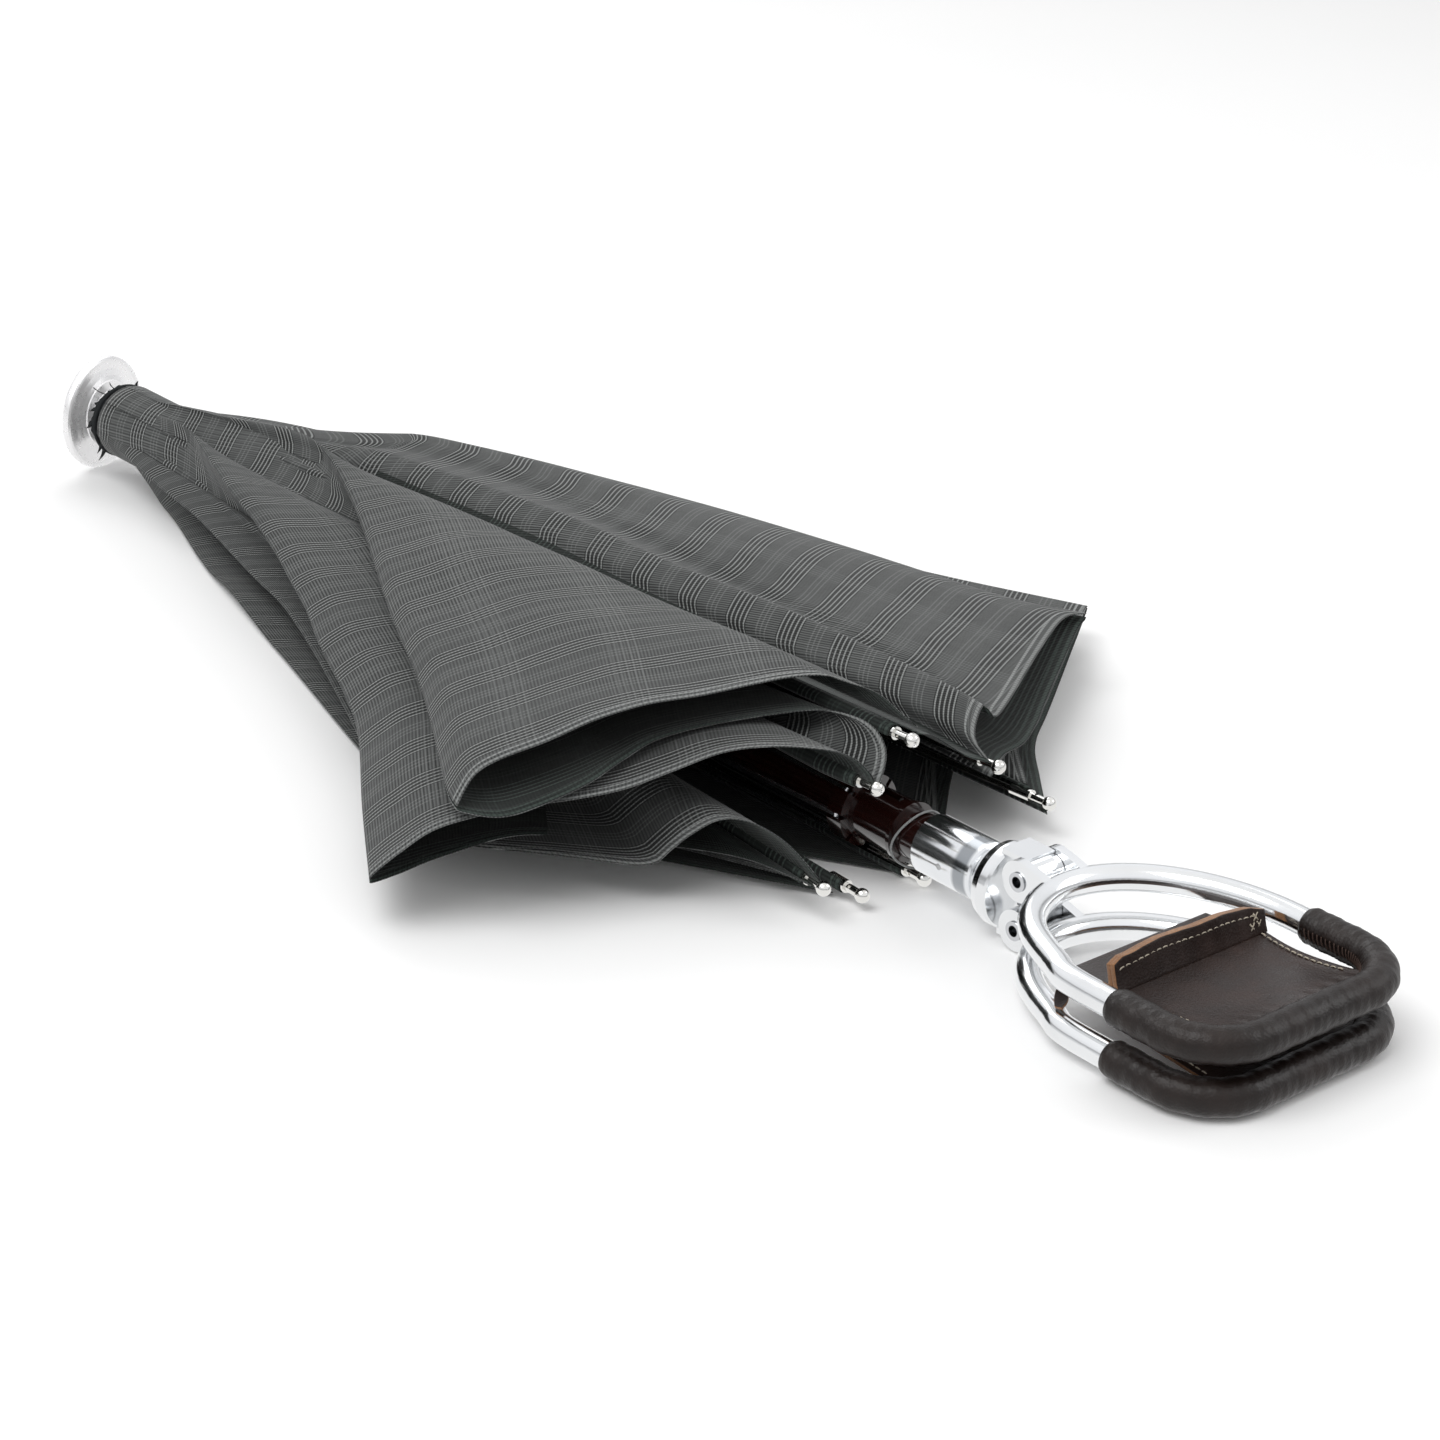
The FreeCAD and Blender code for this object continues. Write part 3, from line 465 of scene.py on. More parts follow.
# Hems that the photo shows, from the rib's tip to the corner
SEEN_HEMS = {
    "1a": [(675, 74, -8), (640.9, 103.4, -9), (612, 129.7, -11), (585.2, 165.8, -12), (522, 255, -7)],
    "1b": [(674, 38, 17), (644, 78.8, 5), (625.5, 113.4, 0), (597.5, 152.6, -3), (522, 255, -6)],
    "2a": [(674, 38, 20), (651.7, 67.4, 14), (639.3, 95.5, 11), (603.6, 146.6, 10), (571, 195.1, 13),
           (566, 207, 15)],
    "2b": [(674, -6, 49), (668, 8, 42), (672, 24, 30), (675, 36, 25), (664.3, 36.5, 33),
           (649.2, 56.1, 37), (651.3, 63.3, 31), (611.4, 122.9, 26), (570.7, 185.3, 19.5),
           (566, 207, 17)],
    "3a": [(674, -8, 53), (666, -9, 55), (651, -9, 58), (634, -14, 61), (624, -17, 61),
           (617, -30, 60.5), (613, -49, 59.5), (609, -73, 58.5), (602, -95, 56.5), (599, -119, 53.5),
           (595, -142, 49.5), (586, -161, 45), (586, -174, 43), (590, -186, 36.6)],
    "3b": [(675, -31, 32.8), (673, -25, 40.9), (665, -17, 45.5), (656, -15, 51), (644, -16, 53),
           (629, -22, 52.8), (617, -40, 51.5), (606, -66, 49), (600, -89, 46), (602, -109, 42),
           (608, -132, 39.5), (605, -155, 34.9), (601, -172, 33.4), (590, -186, 34.8)],
    "4a": [(675, -31, 32.8), (670, -32, 38), (663, -36, 42), (655, -44, 43.5), (640, -59, 42),
           (628, -76, 38.5), (620, -97, 32), (614, -119, 26.5), (607, -140, 25), (594, -163, 24),
           (582, -189, 20.5), (575, -204, 12), (566, -213, 2)],
    "4b": [(674, -58, -6), (660, -64, -2.3), (636, -66, -3.2), (617, -72, -4.4), (600, -86, -3.6),
           (585, -103, -3.2), (562, -132, -2.5), (562, -172, 1), (565, -198, 1), (566, -213, 0)],
    "5a": [(674, -58, -6), (666, -61, 1.3), (656, -66, 9), (646, -75, 15), (637, -84, 15),
           (630, -93, 8), (622, -98, -2), (618, -104, -8.5), (606, -114, -11), (570, -140, -12),
           (519, -170, -11)],
}
# Soft valley along the rear panel, between the strip beside the top edge and the wide flap
VALLEY = [(204, 59, 26), (285, 74, 27), (352, 75, 29), (430, 75, 30.5), (510, 71, 32), (583, 66, 33),
          (640, 58, 33)]
GORE_ROWS, GORE_COLUMNS, GAP_COLUMNS = 96, 64, 12


def fold_curve(gore, shares):
    if gore in SEEN_FOLDS:
        p = spline(SEEN_FOLDS[gore], 200)
        t = (p[:, 0] - p[0, 0]) / (p[-1, 0] - p[0, 0])
        return np.stack([np.interp(shares, t, p[:, k]) for k in range(3)], 1)
    reach = GORE_FOLDS[gore][3]
    return np.array([cad_fold(gore, s * reach) for s in shares])


def ripple(p, share):
    """Slow waves that all the layers share, so that none cuts another."""
    x, y = p[..., 0], p[..., 1]
    wave = np.sin(x / 47.0 + y / 31.0) * 0.9 + np.sin(x / 23.0 - y / 19.0 + 1.3) * 0.45
    wave += np.sin(y / 12.0 + x / 90.0) * 0.35
    return wave * smooth(share / 0.5)


def rear_panel(ribs, fold, u):
    """Rear panel's sections: down into the gap beside the front panel's edge, which half_gore darkens with
    the painted-shade cloth, up over a roll, along the strip to the soft valley, and over the flap to its
    fold."""
    valley = spline(VALLEY, 120)
    share = (valley[:, 0] - CROWN_X) / (valley[-1, 0] - CROWN_X)
    gap_offsets = np.array([(0, 0, 0), (0, 6, -6), (0, 14, -9), (0, 25, -7.5), (0, 30, -1.5)])
    rows = []
    for i, s in enumerate(u):
        w = float(smooth((s - 0.1) / 0.22))
        seen = np.array([np.interp(s, share, valley[:, k]) for k in range(3)])
        p = (ribs[i] * 0.6 + fold[i] * 0.4) * (1 - w) + seen * w
        gap = [ribs[i] + (fold[i] - ribs[i]) * 0.02 * k * (1 - w) + gap_offsets[k] * w for k in range(5)]
        beyond = p + np.array([0, 13, 0.5]) * w
        strip_top = gap[4] * 0.5 + p * 0.5 + np.array([0, 0, 1.8]) * w
        valley_foot = p + np.array([0, 0, -1.6]) * w
        flap_top = beyond * 0.5 + fold[i] * 0.5 + np.array([0, 0, 4.0]) * w
        flap = [gap[4], strip_top, valley_foot, beyond, flap_top, fold[i]]
        # a hair's step keeps points apart where the section shrinks to one spot
        step = np.linspace(0, 1e-6, 200)[:, None]
        rows.append(np.concatenate([even(spline(gap, 200) + step, GAP_COLUMNS)[:-1],
                                    even(spline(flap, 200) + step, GORE_COLUMNS - GAP_COLUMNS + 1)]))
    return np.array(rows)


# Layers of cloth on each side of the top rib, counted inwards from the outermost
LAYERS = {"3a": 0, "3b": 1, "4a": 2, "4b": 3, "5a": 4, "5b": 5, "6a": 6, "6b": 7,
          "2b": 1, "2a": 2, "1b": 3, "1a": 4, "8b": 5, "8a": 6, "7b": 7, "7a": 8}


def around_crown(S, layer):
    """The cloth passes over the crown's hub, layer on layer, before it follows the ribs."""
    x, r = S[..., 0], np.hypot(S[..., 1], S[..., 2])
    hub = 21.4 - 0.3 * layer
    least = hub * (1 - 0.12 * smooth((x - 90) / 60) - 0.5 * smooth((x - 150) / 130))
    S[..., 1:] *= (np.maximum(r, least) / np.maximum(r, 1e-6))[..., None]
    return S


# Cloth on the ribs: a half gore from each rib to the gore's fold, and a seam over each rib

RIB_TO_CLOTH, BARE_TIP = 3.75, 16.0
CLOTH_THICKNESS, SEAM_THICKNESS, SEAM_R = 0.45, 0.4, 3.35
REAR_GORES = (0, 1, 6, 7)
# The highest cloth, which rounds off softly below this height over the floor's line
CEILING_Z, CEILING_SOFT = 52.2, 2.5
# Shift of the edges that the photo shows beside their rib
EDGE_SHIFTS = {"3a": (0, 5.0, 1.0), "2b": (0, 2.0, -3.0)}
# Fullness between rib and fold, as a share of the width, where the photo shows it
FULLNESS = {"3a": 0.075, "4a": 0.06, "5a": 0.05, "2b": 0.0, "1b": 0.02, "3b": -0.01, "4b": -0.02}
# Share of the rows by the crown that show the outer cloth on both sides
WRAPPED_SHARE = 0.3


def hem_line(label, gore, upper, chord, v):
    """The hem that the photo shows, or a shallow arch between rib and fold."""
    if label == "2b":
        return np.concatenate([even(spline(SEEN_HEMS[label][:4], 200), GAP_COLUMNS)[:-1],
                               even(spline(SEEN_HEMS[label][3:], 300), GORE_COLUMNS - GAP_COLUMNS + 1)])
    if label in SEEN_HEMS:
        hem = even(spline(SEEN_HEMS[label], 300), 400)
        return np.stack([np.interp(v, np.linspace(0, 1, 400), hem[:, k]) for k in range(3)], 1)
    hem = chord.copy()
    hem[:, 0] -= np.sin(v * math.pi) * 26.0
    hem[:, 2] += np.sin(v * math.pi * 2.0 + gore) * (1.4 if upper else 0.8)
    return hem


def gore_shape(label, gore, rib, upper, u, v):
    """Points of a half gore, in rows from the crown to the hem and columns from rib to fold."""
    fold = fold_curve(gore, u)
    ribs = np.array([rib_point(rib, min(RIB_LENGTH * s, RIB_LENGTH - BARE_TIP)) for s in u])
    ribs = ribs + rib_axes(rib)[0] * RIB_TO_CLOTH
    if label in EDGE_SHIFTS:
        ribs = ribs + np.array(EDGE_SHIFTS[label]) * smooth(u / 0.4)[:, None]
    if label == "2b":
        S = rear_panel(ribs, fold, u)
    else:
        S = ribs[:, None] * (1 - v)[None, :, None] + fold[:, None] * v[None, :, None]
    # the hem's own line, fading out towards the crown
    fade = u ** (2.0 if label in SEEN_HEMS else 2.4)
    S = S + (hem_line(label, gore, upper, S[-1], v) - S[-1])[None] * fade[:, None, None]
    width = np.linalg.norm(fold - ribs, axis=1)
    full = FULLNESS.get(label, 0.012 if upper else -0.01)
    S[..., 2] += np.sin(v * math.pi)[None] * (width * full * (1 - 0.55 * u))[:, None]
    # the fold is a round turn, not a crease
    turn = np.clip((v - 0.9) / 0.1, 0, 1)
    gap = (0.5 + 1.1 * u)[:, None] * np.sqrt(1 - turn ** 2)[None]
    S[..., 2] += gap * (1 if upper else -1)
    S[..., 2] += ripple(S, u[:, None]) * (0.35 + 0.65 * np.sin(v * math.pi))[None]
    S = around_crown(S, LAYERS[label])
    over = np.maximum(S[..., 2] - (CEILING_Z + math.sin(LIE) * S[..., 0]), 0)
    S[..., 2] -= over - CEILING_SOFT * (1 - np.exp(-over / CEILING_SOFT))
    S[..., 2] = np.maximum(S[..., 2], floor_z(S[..., 0]) + (2.4 if upper else 1.1))
    return S


def length_so_far(S, axis):
    """Length of cloth up to each point, along a row (axis 1) or a column (axis 0)."""
    steps = np.linalg.norm(np.diff(S, axis=axis), axis=2)
    start = np.zeros((len(S), 1) if axis else (1, S.shape[1]))
    return np.concatenate([start, np.cumsum(steps, axis=axis)], axis)


def cut_maps(mesh, across, along, hem_in):
    """UV maps of a cloth in metres: flat is its cut, hem the way in from the hem."""
    number = np.zeros(len(mesh.loops), np.int32)
    mesh.loops.foreach_get("vertex_index", number)
    for name, first, second in (("flat", across, along), ("hem", hem_in, across)):
        pairs = np.stack([first.ravel()[number], second.ravel()[number]], 1)
        mesh.uv_layers.new(name=name).data.foreach_set("uv", pairs.ravel())


def thicken(obj, thickness):
    """Thickness in millimetres, half of it on each side."""
    thick = obj.modifiers.new("thickness", "SOLIDIFY")
    thick.thickness = thickness / 1000
    thick.offset = 0.0
    return thick


def half_gore(gore, second):
    label = "%d%s" % (gore + 1, "b" if second else "a")
    rib = (gore + 1) % 8 if second else gore
    upper = second == (gore in REAR_GORES)
    u = np.linspace(0.004, 1.0, GORE_ROWS)
    v = 1 - (1 - np.linspace(0, 1, GORE_COLUMNS)) ** 1.25
    S = gore_shape(label, gore, rib, upper, u, v)
    # slots 0, 1 and 3 are for faces, and the next one is for their inner side; slots 1 and 2 hold painted
    # shade
    obj = mesh_piece("gore_%s_cloth" % label, S.reshape(-1, 3), grid_faces(GORE_ROWS, GORE_COLUMNS),
                     [cloth_outer, painted_shade_cloth, painted_shade_cloth, cloth_outer, cloth_outer])
    run, down = length_so_far(S, 1), length_so_far(S, 0)
    across = (run[:, -1:] - run) / 1000 * (1 if second else -1)
    along = (down * 0.25 + (u * RIB_LENGTH)[:, None] * 0.75) / 1000
    cut_maps(obj.data, across, along, (down[-1:] - down) / 1000)
    # the right side of the cloth faces out of the fold, as a cell in the middle tells
    normal_up = np.cross(S[40, 22] - S[39, 22], S[40, 23] - S[40, 22])[2] > 0
    if normal_up == upper:
        obj.data.flip_normals()
    finish = np.zeros((GORE_ROWS - 1, GORE_COLUMNS - 1), np.int32)
    # the faces in the gap beside the front panel's edge take the darker cloth of painted shade
    if label == "2b":
        finish[:, :GAP_COLUMNS - 1] = 1
    finish[:int(GORE_ROWS * WRAPPED_SHARE)] = 3
    obj.data.polygons.foreach_set("material_index", finish.ravel())
    thicken(obj, CLOTH_THICKNESS).material_offset = 1
    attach(obj, "gore_%s" % label)
    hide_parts("gore_%s" % label)


for gore in range(8):
    for second in (False, True):
        half_gore(gore, second)


def rib_seam(index):
    """Seam of two gores, which lies over its rib and ends at the tip's socket."""
    out, side = rib_axes(index)
    rows, columns = 60, 11
    first, last, half_width = 9.0, RIB_LENGTH - 12.0, 6.0
    points = []
    for s in np.linspace(first, last, rows):
        centre = rib_point(index, s)
        wide = SEAM_R + 1.1 * float(smooth((s - 560) / 80)) * (1 - float(smooth((s - 618) / 18)))
        for a in np.linspace(-1.85, 1.85, columns):
            points.append(centre + out * math.cos(a) * SEAM_R + side * math.sin(a) * wide)
    S = around_crown(np.array(points).reshape(rows, columns, 3), 6)
    S[..., 2] = np.maximum(S[..., 2], floor_z(S[..., 0]) + 0.6)
    obj = mesh_piece("rib_%d_seam" % (index + 1), S.reshape(-1, 3), grid_faces(rows, columns),
                     [cloth_outer, painted_shade_cloth])
    across = np.tile(np.linspace(-half_width, half_width, columns) / 1000, (rows, 1))
    along = np.repeat(np.linspace(first, last, rows) / 1000, columns).reshape(rows, columns)
    cut_maps(obj.data, across, along, last / 1000 - along)
    # past the rows by the crown the seam is all darker cloth, painted shade inside the folds
    inner = np.repeat(np.arange(rows - 1) > (rows - 1) * WRAPPED_SHARE, columns - 1).astype(np.int32)
    obj.data.polygons.foreach_set("material_index", inner)
    thicken(obj, SEAM_THICKNESS)
    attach(obj, "rib_%d" % (index + 1))


for index in range(8):
    rib_seam(index)


# Crown: black cloth, frayed and tied over the ribs

CROWN_TIE_R, CROWN_CLOTH_R = 19.5, 18.2


def around_shaft(x, radius, angle):
    return (x, radius * math.cos(angle), radius * math.sin(angle))


def crown_body():
    """Gathered cloth, with a frayed edge at each end."""
    sides = 96
    profile = [(34.0, 18.4), (31.0, 18.6), (28.5, 18.8), (26.5, 18.6), (25.0, 18.4), (23.5, 18.9),
               (21.8, 19.3), (20.3, 18.8), (19.2, 17.8), (18.4, 17.0), (17.6, 16.2)]
    line = spline([(x, r, 0) for x, r in profile], 26)
    points = []
    for i, (x, r, _) in enumerate(line):
        t = i / (len(line) - 1)
        end = max(0.0, (t - 0.82) / 0.18)
        start = max(0.0, (0.14 - t) / 0.14)
        for k in range(sides):
            a = 2 * math.pi * k / sides
            fold = math.sin(a * 8 + 0.7) * 0.5 + math.sin(a * 19 + 1.1 + t) * 0.28
            fold += math.sin(a * 31 + 2 * t) * 0.15
            fray = math.sin(a * 11.0) + math.sin(a * 23.0 + 1) * 0.7 + math.sin(a * 41 + 0.4) * 0.6
            frayed_x = x - end * abs(fray) + start * fray * 1.6
            points.append(around_shaft(frayed_x, r + fold + end * fray * 0.7, a))
    return mesh_piece("crown_body", points, grid_faces(len(line), sides, True), [black_cloth])


def crown_point(number, angle, reach, x):
    """Loose point of the gathered cloth."""
    a = math.radians(angle)
    out = np.array([0, math.cos(a), math.sin(a)])
    side = np.array([0, -math.sin(a), math.cos(a)])
    base = np.array([x, 0, 0]) + out * CROWN_CLOTH_R
    tip = base + out * reach * 0.95 + side * reach * 0.5 + np.array([-2.5 + (number % 3) * 2.2, 0, 0])
    ring = []
    for s in np.linspace(0, 1, 7):
        c = base + (tip - base) * s + side * math.sin(s * math.pi) * 0.8
        half = (1 - s) * 2.6 + 0.12
        thick = 0.35 * (1 - s) + 0.08
        for dx, dn in ((-half, 0), (0, thick), (half, 0), (0, -thick)):
            ring.append(c + np.array([dx, 0, 0]) + side * dn)
    faces = grid_faces(7, 4, True) + [(24, 25, 26, 27)]
    return mesh_piece("crown_point_%d" % number, ring, faces, [black_cloth])


def crown_cloth():
    parts = [crown_body()]
    for i, phase in enumerate((0.0, 2.2)):
        tie_line = [around_shaft(23.2 + 0.9 * math.sin(2 * a + phase), CROWN_TIE_R, a)
                    for a in np.linspace(0, 2 * math.pi, 64, endpoint=False)]
        parts.append(tube("crown_tie_%d" % i, tie_line, 1.05, black_cloth, 8, True))
    # angle, reach and x of each loose point
    loose = [(118, 9.5, 22), (100, 6.0, 21), (205, 7.0, 26), (222, 8.5, 24), (150, 4.5, 20),
             (60, 5.5, 22), (310, 5.0, 23), (10, 6.0, 21), (175, 5.0, 19)]
    parts += [crown_point(i, *values) for i, values in enumerate(loose)]
    return joined("crown_cloth_frayed", parts)


crown = crown_cloth()
shell = crown.modifiers.new("thickness", "SOLIDIFY")
shell.thickness = 0.0004
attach(crown, "shaft")
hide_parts("crown_cloth")

# Thin cord loop that hangs round the shaft by the rib tips
loop_line = []
for a in np.linspace(0, 2 * math.pi, 40, endpoint=False):
    loop_line.append((672.0 + 3.5 * math.cos(a) - 2.0 * math.sin(a * 2 + 0.5),
                      (13.2 + 0.2 * math.sin(a)) * math.cos(a), 13.4 * math.sin(a) - 1.2))
tie = tube("tie_loop_cord", spline(loop_line, 120, True), 0.55, grey_cord, 8, True)
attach(tie, "shaft")
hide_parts("tie_loop")


# Leather on the seat bars

# Radius of the skin over the bar, of its tight ends, and of the ends' last ring
SKIN_R, TIGHT_R, END_R = WRAP_R - 0.25, BAR_R + 0.25, BAR_R + 0.02
UP = np.array([0, 0, 1.0])


def bar_line(z):
    """Centre line of an outer bar with its corners, from one arm to the other."""
    r = LOOP_CORNER_R
    quarter = np.linspace(0, math.pi / 2, 18)
    points = [(x, -LOOP_HALF, z) for x in np.linspace(WRAP_START_X, BAR_X - r, 14)[:-1]]
    points += [(BAR_X - r + r * math.sin(a), -LOOP_HALF + r - r * math.cos(a), z) for a in quarter]
    points += [(BAR_X, y, z) for y in np.linspace(-LOOP_HALF + r, LOOP_HALF - r, 40)[1:-1]]
    points += [(BAR_X - r + r * math.cos(a), LOOP_HALF - r + r * math.sin(a), z) for a in quarter]
    points += [(x, LOOP_HALF, z) for x in np.linspace(BAR_X - r, WRAP_START_X, 14)[1:]]
    return np.array(points)


def skin_radius(t, a, corner, seed):
    """Puckered beside the inner seam, wrinkled elsewhere and tight at both ends."""
    inner = max(0.0, math.cos(a))
    s = t * 620.0
    pucker = math.sin(s * 0.95 + math.sin(a * 2 + seed) * 0.8) * 0.3 * inner ** 2
    wrinkle = math.sin(s * 0.42 + a * 1.5 + seed) * 0.07 + math.sin(s * 0.17 - a * 2.0 + seed * 2) * 0.14
    wrinkle += corner * inner * math.sin(s * 0.75 + seed) * 0.12
    seam = -0.9 * math.exp(-((a if a < math.pi else a - 2 * math.pi) / 0.09) ** 2)
    edge = min(1.0, min(t, 1 - t) / 0.012)
    return TIGHT_R + (SKIN_R + pucker + wrinkle + seam - TIGHT_R) * (0.35 + 0.65 * edge)


def wrap_leather_tube(name, z, body, node, seed):
    line = even(bar_line(z), 260)
    n, sides = len(line), 44
    angles = [2 * math.pi * k / sides for k in range(sides)]
    tangent = np.gradient(line, axis=0)
    tangent /= np.linalg.norm(tangent, axis=1)[:, None]

    def around(i, angle, radius):
        """Point round the bar, with angle 0 on its inner side."""
        return line[i] + (np.cross(UP, tangent[i]) * math.cos(angle) + UP * math.sin(angle)) * radius

    points = []
    for i in range(n):
        corner = 1.0 if min(abs(tangent[i][0]), abs(tangent[i][1])) > 0.15 else 0.0
        points += [around(i, a, skin_radius(i / (n - 1), a, corner, seed)) for a in angles]
    faces = grid_faces(n, sides, True)
    # the ends turn in to the bare arm
    for row, sign in ((0, 1), (n - 1, -1)):
        start = len(points)
        points += [around(row, a, END_R) + tangent[row] * 0.6 * sign for a in angles]
        for j in range(sides):
            k = (j + 1) % sides
            quad = (row * sides + j, row * sides + k, start + k, start + j)
            faces.append(quad if sign < 0 else quad[::-1])
    parts = [mesh_piece(name + "_skin", points, faces, [wrap_leather])]
    # whip stitches over the seam on the inner side
    for i in range(6, n - 6, 3):
        run = [around(i, s * 0.27, WRAP_R - 0.05 + 0.35 * (1 - s * s)) + tangent[i] * (s * 0.9)
               for s in np.linspace(-1, 1, 7)]
        parts.append(tube("%s_stitch_%d" % (name, i), run, 0.34, brown_thread, 5))
    piece = joined(name, parts)
    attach(piece, body)
    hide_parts(node)


wrap_leather_tube("upper_bar_leather", HINGE_Z, "upper_loop", "upper_wrap", 0.4)
wrap_leather_tube("lower_bar_leather", -HINGE_Z, "lower_loop", "lower_wrap", 2.1)


# Seat sling

SLING_THICKNESS, FLAP_THICKNESS, TAG_THICKNESS = 1.6, 2.5, 1.2
SLING_END_X, PANEL_RUN, SEAM_Z = 883.4, 56.0, HINGE_Z - 3.5
LOWER_FOLD_X, LOWER_BAR_Z, LOWER_FOLD_Z = SLING_FOLD_X - 3.0, 1.6 - HINGE_Z, 0.4
FLAP_FOOT_Z, FLAP_LEAN = SEAM_Z - SLING_THICKNESS / 2, math.tan(math.radians(14.0))
STITCH_LENGTH, STITCH_GAP = 2.4, 1.0


def stitch_run(name, line, length, radius):
    """Raised cream stitches along a line of points."""
    p = even(line, 400)
    run = np.linalg.norm(np.diff(p, axis=0), axis=1).sum()
    step = length + STITCH_GAP
    parts = []
    for i in range(max(2, int(run / step))):
        t = np.linspace(i * step / run, min((i * step + length) / run, 1.0), 5)
        q = np.stack([np.interp(t, np.linspace(0, 1, len(p)), p[:, k]) for k in range(3)], 1)
        q[:, 2] += np.array([-0.15, 0.12, 0.2, 0.12, -0.15])
        parts.append(tube("%s_%d" % (name, i), q, radius, cream, 5))
    return parts


def leather_sheet(name, grid, thickness):
    """Sheet of leather with raw suede at its cut edges."""
    rows, columns = grid.shape[:2]
    obj = mesh_piece(name, grid.reshape(-1, 3), grid_faces(rows, columns), [leather, suede])
    thicken(obj, thickness).material_offset_rim = 1
    bevel = obj.modifiers.new("edge", "BEVEL")
    bevel.width = 0.0003
    bevel.segments = 2
    bevel.limit_method = "ANGLE"
    with bpy.context.temp_override(object=obj, active_object=obj, selected_objects=[obj]):
        for modifier in list(obj.modifiers):
            bpy.ops.object.modifier_apply(modifier=modifier.name)
    return obj


def panel_height(x):
    """The upper panel hangs from the bar, dishes, rises to the seam and folds down behind it."""
    t = (x - SEAM_X) / PANEL_RUN
    if t >= 0:
        return SEAM_Z + 4.5 * t - 2.6 * 4 * t * (1 - t)
    s = (SEAM_X - x) / (SEAM_X - SLING_FOLD_X)
    return SEAM_Z + (2.6 - SEAM_Z) * s - 0.6 * 4 * s * (1 - s)


def panel_belly(x):
    """0 at the seam and at the bar, 1 half way between them."""
    return math.sin(min(1.0, max(0.0, (x - SEAM_X) / PANEL_RUN)) * math.pi)


def upper_panel():
    xs = np.concatenate([np.linspace(SLING_END_X, SEAM_X, 40),
                         np.linspace(SEAM_X - 1.5, SLING_FOLD_X, 18)])
    grid = []
    for x in xs:
        belly = panel_belly(x)
        for y in np.linspace(-SLING_HALF, SLING_HALF, 60):
            edge = abs(y) / SLING_HALF
            sway = math.sin(y * 0.11 + 0.6) * 0.5 + math.sin(x * 0.13 + y * 0.05) * 0.35
            dish = -1.1 * (1 - edge ** 2) * belly
            curl = 0.9 * max(0.0, edge - 0.86) / 0.14 * belly
            gather = math.sin(y * 0.75) * 0.35 * max(0.0, (x - 872) / 11)
            z = panel_height(x) - SLING_THICKNESS / 2 + sway * 0.6 * belly + dish + curl + gather
            grid.append((x, y * (1 - 0.035 * belly), z))
    return leather_sheet("upper_panel", np.array(grid).reshape(len(xs), 60, 3), SLING_THICKNESS)


def standing_flap():
    """The seam's two leathers stand up with raw edges, and cream stitches hold them together."""
    ys = np.linspace(-SLING_HALF, SLING_HALF + 0.5, 70)
    tops = np.interp(ys, [-43, -38, -21, 17, 36, 43.5], [11.4, 13.6, 14.6, 13.8, 11.8, 9.4])
    parts = []
    # name, place, how much lower it ends than the seam's outline, and the curve of its foot
    for name, x, lower, foot in (("seam_front", SEAM_X + 1.0, 0.0, 0.9),
                                 ("seam_back", SEAM_X - 1.1, 0.7, -0.2)):
        rows = []
        for h in np.linspace(0, 1, 14):
            for y, top in zip(ys, tops):
                height = (top - lower) * h
                wave = math.sin(y * 0.16 + 0.5) * 0.5 * h + math.sin(y * 0.52) * 0.12 * h
                rows.append((x - height * FLAP_LEAN + wave + foot * (1 - h) ** 3, y, FLAP_FOOT_Z + height))
        parts.append(leather_sheet(name, np.array(rows).reshape(14, len(ys), 3), FLAP_THICKNESS))
    run = [(SEAM_X + 2.1 - top * 0.72 * FLAP_LEAN + math.sin(y * 0.16 + 0.5) * 0.36, y,
            FLAP_FOOT_Z + top * 0.72) for y, top in zip(ys[2:-2], tops[2:-2])]
    return parts + stitch_run("seam_stitch", run, 2.6, 0.36)


def upper_sling():
    parts = [upper_panel()] + standing_flap()
    for side in (-1, 1):
        run = [(x, side * 39.8 * (1 - 0.035 * panel_belly(x)), panel_height(x) + 0.55 - 0.2 * panel_belly(x))
               for x in np.linspace(SEAM_X + 3, 877, 30)]
        parts += stitch_run("side_stitch_%d" % side, run, STITCH_LENGTH, 0.36)
    # crossed tacks at the seam's far end
    for k, (y, h) in enumerate(((35.5, 4.2), (37.8, 8.0), (39.4, 4.4))):
        for s in (-1, 1):
            q = [(SEAM_X + 2.3 - (h + d) * FLAP_LEAN, y + s * d * 0.8, FLAP_FOOT_Z + h + d)
                 for d in (-1.6, -0.5, 0.5, 1.6)]
            parts.append(tube("tack_%d_%d" % (k, s), q, 0.42, cream, 6))
    piece = joined("upper_sling_leather", parts)
    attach(piece, "upper_sling")
    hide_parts("upper_sling")


def lower_height(t, dish):
    """The lower panel rises from its bar (t = 0) to its fold under the seam (t = 1)."""
    return LOWER_BAR_Z * (1 - t) + LOWER_FOLD_Z * t - dish * 4 * t * (1 - t)


def lower_panel():
    rows, columns = 50, 50
    grid = []
    for x in np.linspace(SLING_END_X, LOWER_FOLD_X, rows):
        t = (SLING_END_X - x) / (SLING_END_X - LOWER_FOLD_X)
        for y in np.linspace(-SLING_HALF + 1, SLING_HALF - 1, columns):
            wave = math.sin(y * 0.12 + x * 0.05) * 0.35 * math.sin(t * math.pi)
            grid.append((x, y, lower_height(t, 1.5) - SLING_THICKNESS / 2 + wave))
    return leather_sheet("lower_panel", np.array(grid).reshape(rows, columns, 3), SLING_THICKNESS)


